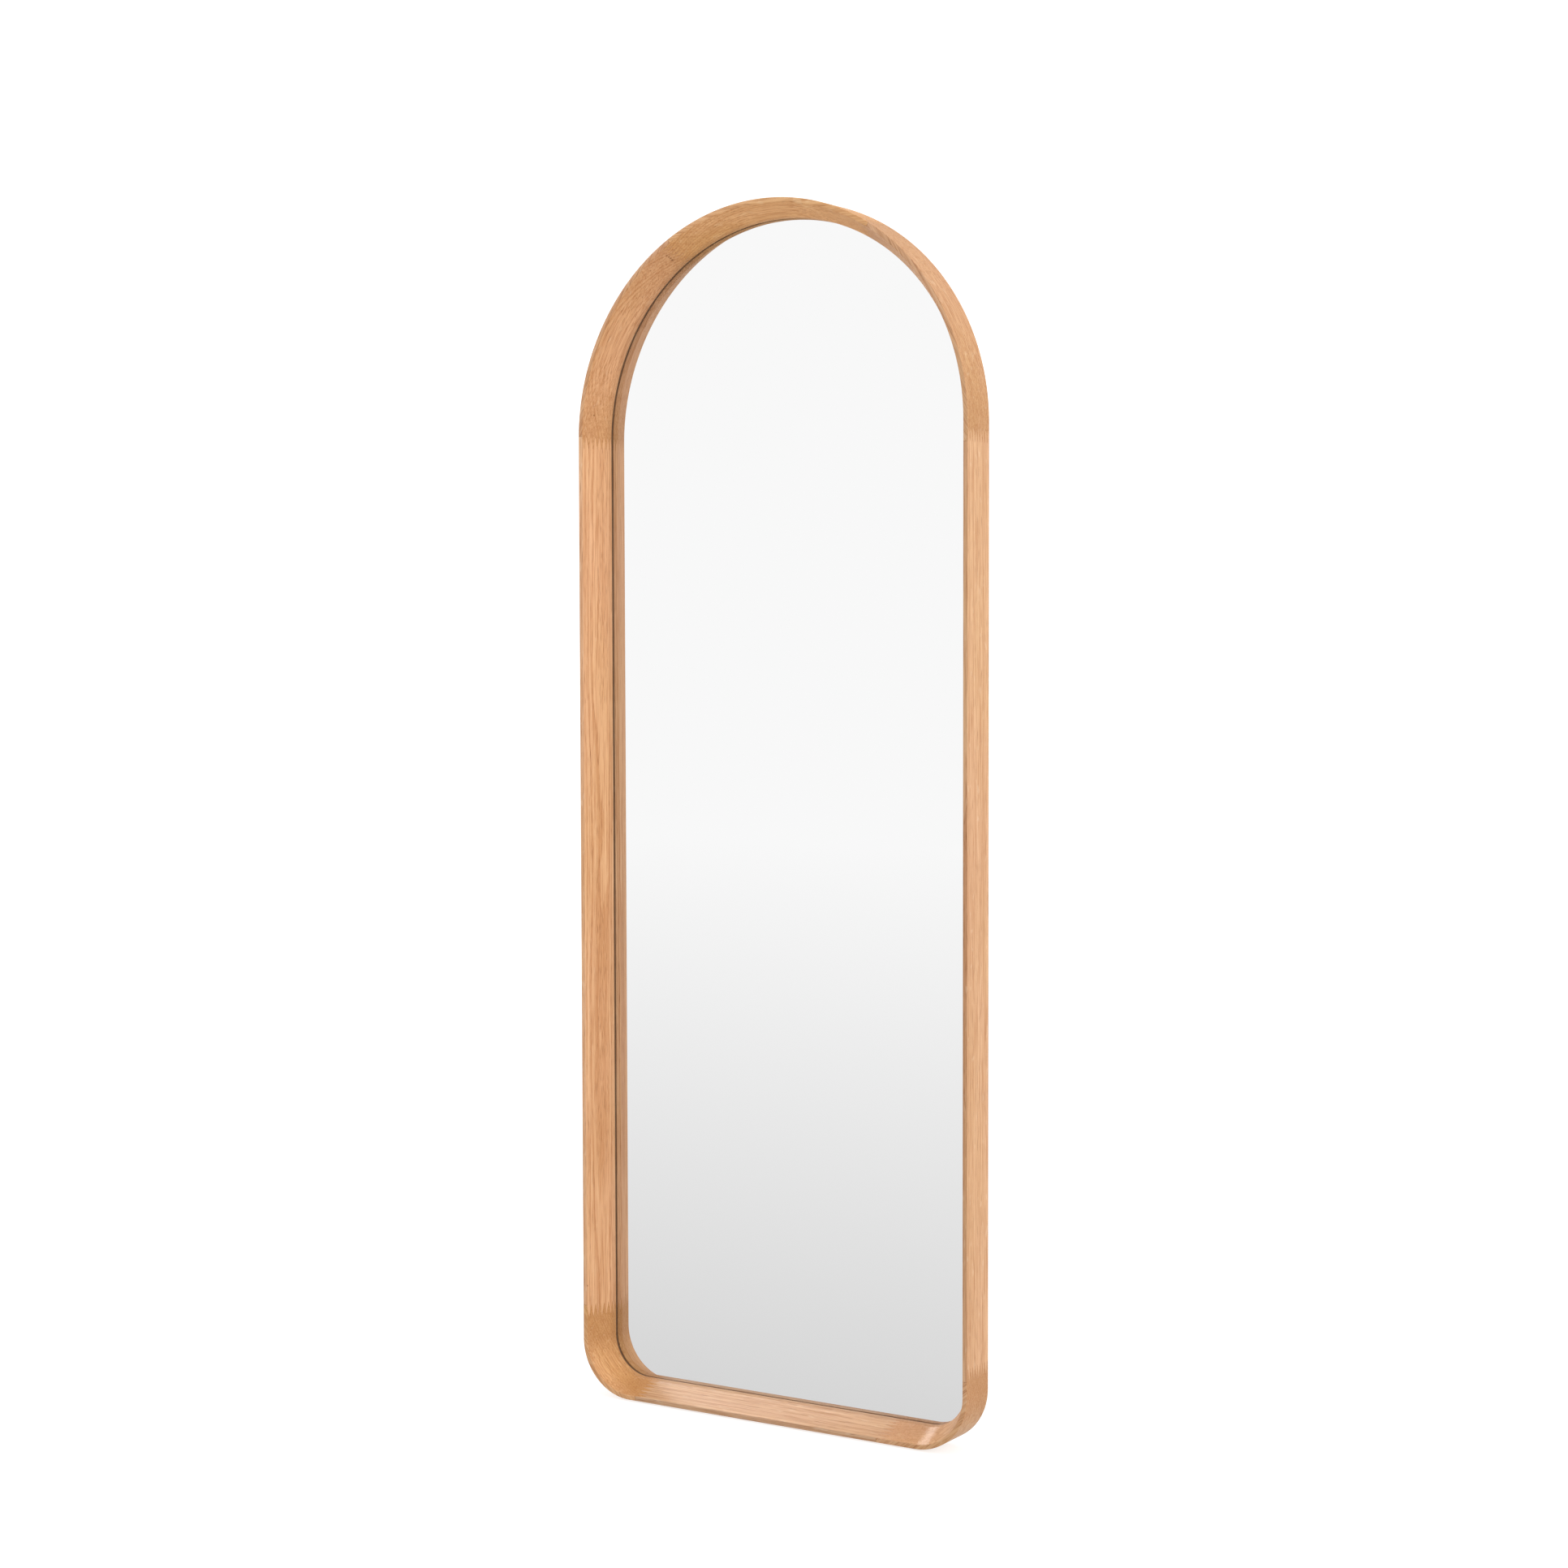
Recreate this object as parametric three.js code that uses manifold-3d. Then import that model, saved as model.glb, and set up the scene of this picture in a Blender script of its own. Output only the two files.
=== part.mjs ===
// Arched full-length mirror in a deep box frame of solid oak, finger-jointed from eight pieces.
// Millimetres, +Z up. The glass faces -Y, +X is to the viewer's right, and the origin is the bottom
// centre of the whole mirror, on the floor.

import * as THREE from "three";
import { mergeVertices } from "three/addons/utils/BufferGeometryUtils.js";
import Module from "manifold-3d";

const wasm = await Module();
wasm.setup();

// ---------------------------------------------------------------------------------------------
// Driving dimensions
// ---------------------------------------------------------------------------------------------

const GAP = 0.3; // air between pieces that touch

// Oak frame, from its own bottom edge up. The arch is a full half circle across the width.
const WIDTH = 600;
const HEIGHT = 1610;
const DEPTH = 58;
const CORNER_RADIUS = 76;

// Oak section, measured inwards from the outer face and back from the front plane.
const FRONT_EDGE = 6.2; // width of the flat front edge
const LIP_REACH = 21.5; // outer face to the edge of the lip that holds the glass
const SLOPE_DEPTH = 36.6; // front plane to where the sloping inner face becomes the straight lip
const LIP_DEPTH = 47.4; // front plane to the back of the lip
const REBATE_WALL = 15; // outer face to the wall of the rebate
const EDGE_EASE = 0.8; // chamfer on the long edges

// Finger joints between the oak pieces.
const FINGERS = 9;
const FINGER_LENGTH = 16.5;
const FINGER_GAP = 0.8; // along the outline, which leaves a glue line across each flank

// Sheets in the rebate, from the front: glass, safety film, board.
const GLASS_THICKNESS = 3;
const GLASS_CLEARANCE = 1.8; // all round, taken up by the setting blocks at the bottom
const FILM_THICKNESS = 0.3;
const BOARD_THICKNESS = 6;
const BOARD_CLEARANCE = 1.2;
const SETTING_BLOCK_WIDTH = 50;
const SETTING_BLOCK_X = 140;

// Screws, turn buttons and hangers on the frame's back face.
const FIXING_INSET = 9.5; // nearer the rebate, so that nothing shows past the outer edge from the front
const SCREW_RADIUS = 1.4;
const SCREW_LENGTH = 12; // length in the oak
const SCREW_TIP = 2.5;
const SCREW_HEAD_RADIUS = 2.8;
const SCREW_HEAD_HEIGHT = 1.8;
const BUTTON_THICKNESS = 1.6;
const BUTTON_REACH = 14; // pivot to the centre of the round nose
const BUTTON_HEEL_RADIUS = 4.5;
const BUTTON_NOSE_RADIUS = 3.4;

const STRAP_WIDTH = 8;
const STRAP_THICKNESS = 1.4;
const STRAP_LENGTH = 37; // below the barrel's centre
const STRAP_SCREWS = [-20, -31]; // height of the two screws from the barrel's centre
const WIRE_RADIUS = 1.25;
const BARREL_INNER_RADIUS = 1.65;
const BARREL_CURL_END = -115; // degrees, where the rolled strap ends short of itself
const RING_HALF_WIDTH = 5.75; // to the middle of the wire
const RING_SIDE = 6; // barrel's centre down to the centre of the round bow
const RING_BEND_RADIUS = 1.6;
const RING_END_GAP = 0.6; // between the wire's two ends, inside the barrel

const BUMPER_RADIUS = 5;
const BUMPER_HEIGHT = 4.5;
const BUMPER_EASE = 0.8;
const PAD_SIZE = [70, 44]; // along the rail and across it
const PAD_HEIGHT = 2;
const PAD_SETBACK = 12; // from the front plane
const PAD_CORNER = 4;
const PAD_X = 165;

// Places along the frame. Heights are from the oak's bottom edge.
const JOINT_RAIL_LEFT_X = -205;
const JOINT_RAIL_RIGHT_X = 175;
const JOINT_LEFT_LOW_Z = 114;
const JOINT_RIGHT_LOW_Z = 105;
const JOINT_LEFT_HIGH_Z = 1306;
const JOINT_RIGHT_HIGH_Z = 1292;
const JOINT_ARCH_DEGREES = [60, 122]; // from the right-hand springing
const BUTTON_HEIGHTS = [220, 520, 820, 1120];
const BUTTON_ARCH_DEGREES = { right: 45, top: 90, left: 135 };
const BUTTON_RAIL_X = 110;
const HANGER_HEIGHT = 1215;
const BUMPER_HEIGHTS = { bottom: 150, top: 1258 };

// ---------------------------------------------------------------------------------------------
// The frame's outline
// ---------------------------------------------------------------------------------------------

const HALF = WIDTH / 2;
const FLAT_HALF = HALF - CORNER_RADIUS; // half the straight bottom edge
const SPRING_Z = HEIGHT - HALF; // where the stiles meet the arch
const CORNER_LENGTH = (CORNER_RADIUS * Math.PI) / 2;
const STILE_LENGTH = SPRING_Z - CORNER_RADIUS;
const OUTLINE_LENGTH = 2 * (FLAT_HALF + CORNER_LENGTH + STILE_LENGTH) + Math.PI * HALF;
const TOTAL_DEPTH = DEPTH + GAP + BUMPER_HEIGHT;

const radians = THREE.MathUtils.degToRad;

// A point of the outer outline at a length from the middle of the bottom edge, anticlockwise as
// seen from the front, with `turn`, the angle of the outward direction from +X towards +Z.
function outlineAt(length) {
  if (length > OUTLINE_LENGTH / 2) {
    const twin = outlineAt(OUTLINE_LENGTH - length);
    return { x: -twin.x, z: twin.z, turn: Math.PI - twin.turn };
  }
  if (length <= FLAT_HALF) return { x: length, z: 0, turn: -Math.PI / 2 };
  const pastFlat = length - FLAT_HALF;
  if (pastFlat <= CORNER_LENGTH) {
    const turn = pastFlat / CORNER_RADIUS - Math.PI / 2;
    return {
      x: FLAT_HALF + CORNER_RADIUS * Math.cos(turn),
      z: CORNER_RADIUS + CORNER_RADIUS * Math.sin(turn),
      turn,
    };
  }
  const pastCorner = pastFlat - CORNER_LENGTH;
  if (pastCorner <= STILE_LENGTH) return { x: HALF, z: CORNER_RADIUS + pastCorner, turn: 0 };
  const turn = (pastCorner - STILE_LENGTH) / HALF;
  return { x: HALF * Math.cos(turn), z: SPRING_Z + HALF * Math.sin(turn), turn };
}

// Lengths along the outline of places that are known by their height, their x or their arch angle.
const onRightStile = (z) => FLAT_HALF + CORNER_LENGTH + (z - CORNER_RADIUS);
const onLeftStile = (z) => OUTLINE_LENGTH - onRightStile(z);
const onArch = (degrees) => onRightStile(SPRING_Z) + radians(degrees) * HALF;
const onLeftRail = (x) => OUTLINE_LENGTH + x;

// Origin, tangent and inward direction of the outline at a length.
function outlineFrame(length) {
  const { x, z, turn } = outlineAt(length);
  return {
    origin: new THREE.Vector3(x, 0, z),
    tangent: new THREE.Vector3(-Math.sin(turn), 0, Math.cos(turn)),
    inward: new THREE.Vector3(-Math.cos(turn), 0, -Math.sin(turn)),
    turn,
  };
}

const BACKWARD = new THREE.Vector3(0, 1, 0);

// A stretch of the outline that a section can be extruded along. The section's x is depth behind
// the front plane, and its y is the distance inwards.
class OutlineRun extends THREE.Curve {
  constructor(from, to) {
    super();
    this.from = from;
    this.to = to;
  }

  lengthAt(t) {
    return this.from + (this.to - this.from) * t;
  }

  getPoint(t) {
    return outlineFrame(this.lengthAt(t)).origin;
  }

  // The curve's parameter is already proportional to length.
  getUtoTmapping(u) {
    return u;
  }

  computeFrenetFrames(steps) {
    const frames = Array.from({ length: steps + 1 }, (_, i) => outlineFrame(this.lengthAt(i / steps)));
    return {
      tangents: frames.map((frame) => frame.tangent),
      normals: frames.map(() => BACKWARD),
      binormals: frames.map((frame) => frame.inward),
    };
  }
}

// ---------------------------------------------------------------------------------------------
// Solids
// ---------------------------------------------------------------------------------------------

function toSolid(geometry) {
  const bare = geometry.clone();
  bare.deleteAttribute("normal");
  bare.deleteAttribute("uv");
  const merged = mergeVertices(bare, 1e-4);
  return new wasm.Manifold(
    new wasm.Mesh({
      numProp: 3,
      vertProperties: new Float32Array(merged.attributes.position.array),
      triVerts: new Uint32Array(merged.index.array),
    }),
  );
}

function toGeometry(solid) {
  const mesh = solid.getMesh();
  const geometry = new THREE.BufferGeometry();
  geometry.setAttribute("position", new THREE.BufferAttribute(mesh.vertProperties, 3));
  geometry.setIndex(new THREE.BufferAttribute(mesh.triVerts, 1));
  geometry.computeVertexNormals();
  return geometry;
}

const polygon = (points) => new THREE.Shape(points.map(([x, y]) => new THREE.Vector2(x, y)));

// A plate of a flat outline, from y = start backwards. The outline's y becomes the plate's height.
function platePast(shape, start, thickness) {
  const plate = new THREE.ExtrudeGeometry(shape, { depth: thickness, bevelEnabled: false });
  return plate.rotateX(Math.PI / 2).translate(0, start + thickness, 0);
}

// ---------------------------------------------------------------------------------------------
// Materials
// ---------------------------------------------------------------------------------------------

const material = (color, roughness, metalness) =>
  new THREE.MeshStandardMaterial({ color, roughness, metalness });

const oak = material("#d6a57d", 0.45, 0);
const silveredGlass = material("#f2f4f4", 0.03, 1);
const greyFilm = material("#8f9698", 0.5, 0);
const fibreboard = material("#a9845c", 0.85, 0);
const zincSteel = material("#c9ccd0", 0.35, 1);
const nickelSteel = material("#b9b4a8", 0.28, 1);
const greyRubber = material("#4a4a4b", 0.8, 0);
const brownFelt = material("#8a6c4f", 0.95, 0);

// ---------------------------------------------------------------------------------------------
// Oak frame
// ---------------------------------------------------------------------------------------------

const SECTION = polygon([
  [0, EDGE_EASE],
  [0, FRONT_EDGE - EDGE_EASE],
  [EDGE_EASE, FRONT_EDGE],
  [SLOPE_DEPTH, LIP_REACH],
  [LIP_DEPTH, LIP_REACH],
  [LIP_DEPTH, REBATE_WALL],
  [DEPTH, REBATE_WALL],
  [DEPTH, EDGE_EASE],
  [DEPTH - EDGE_EASE, 0],
  [EDGE_EASE, 0],
]);

const CUT_MARGIN = 3; // how far a cutter stands clear of what it cuts
const CUT_REACH = 34; // how far a finger cutter reaches past its joint

// The prism that clears a run's end down to the finger line: side 1 clears what lies ahead along
// the outline, and side -1 what lies behind. The fingers run through the oak's thickness.
function fingerCutter(length, side) {
  const { origin, tangent, inward } = outlineFrame(length);
  const fingerLine = Array.from({ length: 2 * FINGERS + 1 }, (_, i) => [
    ((i % 2) - 0.5) * FINGER_LENGTH - (side * FINGER_GAP) / 2,
    (i * DEPTH) / (2 * FINGERS),
  ]);
  const first = fingerLine[0][0];
  const last = fingerLine[fingerLine.length - 1][0];
  const outline = polygon([
    [side * CUT_REACH, -CUT_MARGIN],
    [first, -CUT_MARGIN],
    ...fingerLine,
    [last, DEPTH + CUT_MARGIN],
    [side * CUT_REACH, DEPTH + CUT_MARGIN],
  ]);
  const thickness = LIP_REACH + 3 * CUT_MARGIN;
  const prism = new THREE.ExtrudeGeometry(outline, { depth: thickness, bevelEnabled: false });
  prism.applyMatrix4(new THREE.Matrix4().makeBasis(tangent, BACKWARD, inward));
  prism.translate(...origin.addScaledVector(inward, -2 * CUT_MARGIN));
  return toSolid(prism);
}

// A pilot hole in the back face, with its middle FIXING_INSET in from the outline.
function pilotHole(length) {
  const { origin, inward } = outlineFrame(length);
  const depth = SCREW_LENGTH + SCREW_TIP / 2;
  const drill = new THREE.CylinderGeometry(
    SCREW_RADIUS + GAP,
    SCREW_RADIUS + GAP,
    depth + CUT_MARGIN,
    10,
  );
  const centre = origin.addScaledVector(inward, FIXING_INSET);
  drill.translate(centre.x, DEPTH + (CUT_MARGIN - depth) / 2, centre.z);
  return toSolid(drill);
}

const BUTTONS = [
  ...BUTTON_HEIGHTS.map((z, i) => [`right_${i + 1}`, onRightStile(z)]),
  ...Object.entries(BUTTON_ARCH_DEGREES).map(([name, a]) => [`arch_${name}`, onArch(a)]),
  ...BUTTON_HEIGHTS.map((z, i) => [`left_${i + 1}`, onLeftStile(z)]),
  ["bottom_left", onLeftRail(-BUTTON_RAIL_X)],
  ["bottom_right", BUTTON_RAIL_X],
];

const HANGERS = { left: onLeftStile, right: onRightStile };

const SCREW_PLACES = [
  ...BUTTONS.map(([, length]) => length),
  ...Object.values(HANGERS).flatMap((at) => STRAP_SCREWS.map((dz) => at(HANGER_HEIGHT + dz))),
];

const STRAIGHT = Infinity; // step for a run with no bend
const CORNER_STEP = 8;
const ARCH_STEP = 15;

const OAK_PIECES = [
  ["bottom_rail", JOINT_RAIL_LEFT_X, JOINT_RAIL_RIGHT_X, STRAIGHT],
  ["bottom_right_corner", JOINT_RAIL_RIGHT_X, onRightStile(JOINT_RIGHT_LOW_Z), CORNER_STEP],
  ["right_stile", onRightStile(JOINT_RIGHT_LOW_Z), onRightStile(JOINT_RIGHT_HIGH_Z), STRAIGHT],
  ["arch_right", onRightStile(JOINT_RIGHT_HIGH_Z), onArch(JOINT_ARCH_DEGREES[0]), ARCH_STEP],
  ["arch_crown", onArch(JOINT_ARCH_DEGREES[0]), onArch(JOINT_ARCH_DEGREES[1]), ARCH_STEP],
  ["arch_left", onArch(JOINT_ARCH_DEGREES[1]), onLeftStile(JOINT_LEFT_HIGH_Z), ARCH_STEP],
  ["left_stile", onLeftStile(JOINT_LEFT_HIGH_Z), onLeftStile(JOINT_LEFT_LOW_Z), STRAIGHT],
  ["bottom_left_corner", onLeftStile(JOINT_LEFT_LOW_Z), onLeftRail(JOINT_RAIL_LEFT_X), CORNER_STEP],
];

const FINGER_OVERRUN = FINGER_LENGTH / 2 + CUT_MARGIN;

function oakPiece(from, to, step) {
  const run = new OutlineRun(from - FINGER_OVERRUN, to + FINGER_OVERRUN);
  const steps = Math.max(1, Math.ceil((run.to - run.from) / step));
  let piece = toSolid(new THREE.ExtrudeGeometry(SECTION, { steps, extrudePath: run }));
  piece = piece.subtract(fingerCutter(from, -1)).subtract(fingerCutter(to, 1));
  for (const place of SCREW_PLACES) {
    for (const length of [place, place - OUTLINE_LENGTH]) {
      if (length > from && length < to) piece = piece.subtract(pilotHole(length));
    }
  }
  return toGeometry(piece);
}

// ---------------------------------------------------------------------------------------------
// Glass, film, board and setting blocks
// ---------------------------------------------------------------------------------------------

function arcPoints(x, z, radius, from, to, count) {
  return Array.from({ length: count + 1 }, (_, i) => {
    const angle = radians(from + ((to - from) * i) / count);
    return [x + radius * Math.cos(angle), z + radius * Math.sin(angle)];
  });
}

// The frame's outline drawn in by an inset.
function insetShape(inset) {
  const corner = CORNER_RADIUS - inset;
  return polygon([
    ...arcPoints(FLAT_HALF, CORNER_RADIUS, corner, -90, 0, 8),
    ...arcPoints(0, SPRING_Z, HALF - inset, 0, 180, 40),
    ...arcPoints(-FLAT_HALF, CORNER_RADIUS, corner, 180, 270, 8),
  ]);
}

const GLASS_FRONT = LIP_DEPTH + GAP;
const FILM_FRONT = GLASS_FRONT + GLASS_THICKNESS + GAP;
const BOARD_FRONT = FILM_FRONT + FILM_THICKNESS + GAP;
const GLASS_INSET = REBATE_WALL + GLASS_CLEARANCE;
const BOARD_INSET = REBATE_WALL + BOARD_CLEARANCE;

function settingBlock() {
  const height = GLASS_CLEARANCE - 2 * GAP;
  const block = new THREE.BoxGeometry(SETTING_BLOCK_WIDTH, GLASS_THICKNESS, height);
  return block.translate(0, GLASS_FRONT + GLASS_THICKNESS / 2, REBATE_WALL + GLASS_CLEARANCE / 2);
}

// ---------------------------------------------------------------------------------------------
// Hardware on the back face. Each piece has y = 0 on the oak's back face, and +Y leaves it.
// ---------------------------------------------------------------------------------------------

// A pan-head screw whose head sits on a plate of the given thickness.
function screw(plateThickness) {
  const seat = plateThickness + 2 * GAP;
  const profile = [
    [0, -SCREW_LENGTH],
    [SCREW_RADIUS, SCREW_TIP - SCREW_LENGTH],
    [SCREW_RADIUS, seat],
    [SCREW_HEAD_RADIUS, seat],
    [SCREW_HEAD_RADIUS, seat + SCREW_HEAD_HEIGHT * 0.5],
    [SCREW_HEAD_RADIUS * 0.65, seat + SCREW_HEAD_HEIGHT],
    [0, seat + SCREW_HEAD_HEIGHT],
  ];
  return new THREE.LatheGeometry(
    profile.map(([r, y]) => new THREE.Vector2(r, y)),
    10,
  );
}

// A tapered plate that turns on its screw at the origin, with its nose along +X.
function turnButton() {
  const lean = Math.acos((BUTTON_HEEL_RADIUS - BUTTON_NOSE_RADIUS) / BUTTON_REACH);
  const degrees = THREE.MathUtils.radToDeg(lean);
  const shape = polygon([
    ...arcPoints(0, 0, BUTTON_HEEL_RADIUS, degrees, 360 - degrees, 9),
    ...arcPoints(BUTTON_REACH, 0, BUTTON_NOSE_RADIUS, -degrees, degrees, 7),
  ]);
  const hole = arcPoints(0, 0, SCREW_RADIUS + GAP, 0, 360, 12).slice(0, -1);
  shape.holes.push(polygon(hole));
  return platePast(shape, GAP, BUTTON_THICKNESS);
}

const BARREL_OUTER_RADIUS = BARREL_INNER_RADIUS + STRAP_THICKNESS;
const BARREL_OUT = GAP + BARREL_OUTER_RADIUS; // barrel's centre behind the back face

// A flat strap rolled into a barrel at its top. z = 0 is the barrel's centre.
function hangerStrap() {
  const section = polygon([
    [GAP, -STRAP_LENGTH],
    ...arcPoints(BARREL_OUT, 0, BARREL_OUTER_RADIUS, 180, BARREL_CURL_END, 20),
    ...arcPoints(BARREL_OUT, 0, BARREL_INNER_RADIUS, BARREL_CURL_END, 180, 20),
    [GAP + STRAP_THICKNESS, -STRAP_LENGTH],
  ]);
  const strap = new THREE.ExtrudeGeometry(section, { depth: STRAP_WIDTH, bevelEnabled: false });
  const axes = [new THREE.Vector3(0, 1, 0), new THREE.Vector3(0, 0, 1), new THREE.Vector3(1, 0, 0)];
  strap.applyMatrix4(new THREE.Matrix4().makeBasis(...axes));
  strap.translate(-STRAP_WIDTH / 2, 0, 0);
  let solid = toSolid(strap);
  for (const z of STRAP_SCREWS) {
    const hole = new THREE.CylinderGeometry(SCREW_RADIUS + GAP, SCREW_RADIUS + GAP, 6, 12);
    solid = solid.subtract(toSolid(hole.translate(0, GAP, z)));
  }
  return toGeometry(solid);
}

// A wire bent into a D. Its straight bar turns in the barrel, and its bow hangs below.
function hangerRing() {
  const bend = RING_HALF_WIDTH - RING_BEND_RADIUS;
  const right = [
    [RING_END_GAP / 2, 0],
    ...arcPoints(bend, -RING_BEND_RADIUS, RING_BEND_RADIUS, 90, 0, 4),
    ...arcPoints(0, -RING_SIDE, RING_HALF_WIDTH, 0, -90, 6),
  ];
  const left = right.slice(0, -1).map(([x, z]) => [-x, z]);
  const route = [...right, ...left.reverse()].map(([x, z]) => new THREE.Vector3(x, BARREL_OUT, z));
  const wire = polygon(arcPoints(0, 0, WIRE_RADIUS, 0, 360, 8).slice(0, -1));
  return new THREE.ExtrudeGeometry(wire, {
    steps: 32,
    extrudePath: new THREE.CatmullRomCurve3(route, false, "centripetal"),
  });
}

function wallBumper() {
  const profile = [
    [0, GAP],
    [BUMPER_RADIUS, GAP],
    [BUMPER_RADIUS, GAP + BUMPER_HEIGHT - BUMPER_EASE],
    [BUMPER_RADIUS - BUMPER_EASE, GAP + BUMPER_HEIGHT],
    [0, GAP + BUMPER_HEIGHT],
  ];
  return new THREE.LatheGeometry(
    profile.map(([r, y]) => new THREE.Vector2(r, y)),
    16,
  );
}

// A pad with round corners under the bottom rail.
function floorPad() {
  const [halfWidth, halfDepth] = PAD_SIZE.map((size) => size / 2);
  const inX = halfWidth - PAD_CORNER;
  const inY = halfDepth - PAD_CORNER;
  const shape = polygon([
    ...arcPoints(inX, -inY, PAD_CORNER, -90, 0, 4),
    ...arcPoints(inX, inY, PAD_CORNER, 0, 90, 4),
    ...arcPoints(-inX, inY, PAD_CORNER, 90, 180, 4),
    ...arcPoints(-inX, -inY, PAD_CORNER, 180, 270, 4),
  ]);
  const pad = new THREE.ExtrudeGeometry(shape, { depth: PAD_HEIGHT, bevelEnabled: false });
  return pad.translate(0, PAD_SETBACK + halfDepth, -GAP - PAD_HEIGHT);
}

// ---------------------------------------------------------------------------------------------
// Assembly
// ---------------------------------------------------------------------------------------------

const mirror = new THREE.Group();
// Everything below is measured from the frame's front plane and the oak's bottom edge.
mirror.position.set(0, -TOTAL_DEPTH / 2, PAD_HEIGHT + GAP);

function addPiece(parent, name, geometry, finish, x = 0) {
  const mesh = new THREE.Mesh(geometry, finish);
  mesh.name = name;
  mesh.position.x = x;
  parent.add(mesh);
}

// A group on the back face, FIXING_INSET in from the outline. Its +X points inwards if asked to.
function backGroup(length, faceInwards = false) {
  const { origin, inward, turn } = outlineFrame(length);
  const group = new THREE.Group();
  group.position.copy(origin.addScaledVector(inward, FIXING_INSET)).setY(DEPTH);
  if (faceInwards) group.rotation.y = Math.PI - turn;
  mirror.add(group);
  return group;
}

for (const [name, from, to, step] of OAK_PIECES) {
  addPiece(mirror, name, oakPiece(from, to, step), oak);
}

const glass = platePast(insetShape(GLASS_INSET), GLASS_FRONT, GLASS_THICKNESS);
addPiece(mirror, "mirror_pane", glass, silveredGlass);
const film = platePast(insetShape(GLASS_INSET), FILM_FRONT, FILM_THICKNESS);
addPiece(mirror, "safety_film", film, greyFilm);
const board = platePast(insetShape(BOARD_INSET), BOARD_FRONT, BOARD_THICKNESS);
addPiece(mirror, "back_panel", board, fibreboard);

for (const [name, length] of BUTTONS) {
  const group = backGroup(length, true);
  addPiece(group, `turn_button_${name}`, turnButton(), nickelSteel);
  addPiece(group, `button_screw_${name}`, screw(BUTTON_THICKNESS), zincSteel);
}

for (const [side, at] of Object.entries(HANGERS)) {
  const barrel = backGroup(at(HANGER_HEIGHT));
  addPiece(barrel, `hanger_strap_${side}`, hangerStrap(), zincSteel);
  addPiece(barrel, `hanger_ring_${side}`, hangerRing(), zincSteel);
  STRAP_SCREWS.forEach((dz, i) => {
    const hole = backGroup(at(HANGER_HEIGHT + dz));
    addPiece(hole, `hanger_screw_${side}_${i + 1}`, screw(STRAP_THICKNESS), zincSteel);
  });
  for (const [level, z] of Object.entries(BUMPER_HEIGHTS)) {
    addPiece(backGroup(at(z)), `wall_bumper_${level}_${side}`, wallBumper(), greyRubber);
  }
  const sign = side === "left" ? -1 : 1;
  addPiece(mirror, `setting_block_${side}`, settingBlock(), greyRubber, sign * SETTING_BLOCK_X);
  addPiece(mirror, `floor_pad_${side}`, floorPad(), brownFelt, sign * PAD_X);
}

export default mirror;
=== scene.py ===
"""An arched full-length mirror in a deep, finger-jointed oak frame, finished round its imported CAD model.

Lengths are in metres. The mirror stands on the plane z = 0, faces -Y and is centred on x = 0. A length
along the frame is measured anticlockwise, as seen from the front, from the middle of its foot.
"""

import logging
import math
from dataclasses import dataclass
from enum import Enum

import bmesh
import bpy
import numpy as np
from mathutils import Matrix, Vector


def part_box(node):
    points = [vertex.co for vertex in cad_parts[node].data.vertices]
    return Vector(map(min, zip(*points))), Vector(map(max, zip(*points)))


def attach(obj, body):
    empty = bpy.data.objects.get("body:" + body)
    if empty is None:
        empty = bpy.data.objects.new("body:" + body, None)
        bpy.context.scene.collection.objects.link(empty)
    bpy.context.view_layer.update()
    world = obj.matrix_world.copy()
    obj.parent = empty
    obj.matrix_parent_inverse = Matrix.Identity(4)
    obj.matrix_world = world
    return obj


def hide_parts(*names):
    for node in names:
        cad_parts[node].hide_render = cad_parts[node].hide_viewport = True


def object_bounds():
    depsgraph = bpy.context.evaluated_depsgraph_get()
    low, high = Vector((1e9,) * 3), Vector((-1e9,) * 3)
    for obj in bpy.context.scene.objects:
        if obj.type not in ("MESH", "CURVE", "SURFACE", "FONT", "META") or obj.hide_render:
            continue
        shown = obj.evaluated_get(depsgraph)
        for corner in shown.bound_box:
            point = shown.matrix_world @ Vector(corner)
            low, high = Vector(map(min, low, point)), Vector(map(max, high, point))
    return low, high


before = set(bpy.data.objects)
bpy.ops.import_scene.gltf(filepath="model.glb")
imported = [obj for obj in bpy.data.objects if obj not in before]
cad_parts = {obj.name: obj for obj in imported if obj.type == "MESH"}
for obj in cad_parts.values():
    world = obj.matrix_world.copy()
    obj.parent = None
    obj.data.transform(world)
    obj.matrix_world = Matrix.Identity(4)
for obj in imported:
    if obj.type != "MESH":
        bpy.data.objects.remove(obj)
CAD_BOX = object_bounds()

LOG = logging.getLogger("mirror")
MM = 0.001
SAME_POINT = 1e-7
WHITE = (1.0, 1.0, 1.0)
Array = np.ndarray
Colour = tuple[float, float, float]


# ---- Small helpers ----

def paint(*shown: float) -> Colour:
    """Turns a colour, as a screen shows it, into linear light by the screens' usual curve.

    Args:
        *shown: The red, green and blue channels, from 0 to 255.

    Returns:
        The three channels in linear light, from 0 to 1.
    """
    share = np.array(shown) / 255
    light = np.where(share <= 0.04045, share / 12.92, ((share + 0.055) / 1.055) ** 2.4)
    return tuple(float(channel) for channel in light)


def ease_curve(x: Array) -> Array:
    """Returns 0 below 0, 1 above 1 and 3x^2 - 2x^3 between, which starts and stops without a kink."""
    x = np.clip(x, 0, 1)
    return x * x * (3 - 2 * x)


def full_turn(count: int) -> Array:
    """Returns count angles evenly round a circle, from 0."""
    return np.linspace(0, 2 * np.pi, count, endpoint=False)


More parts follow.
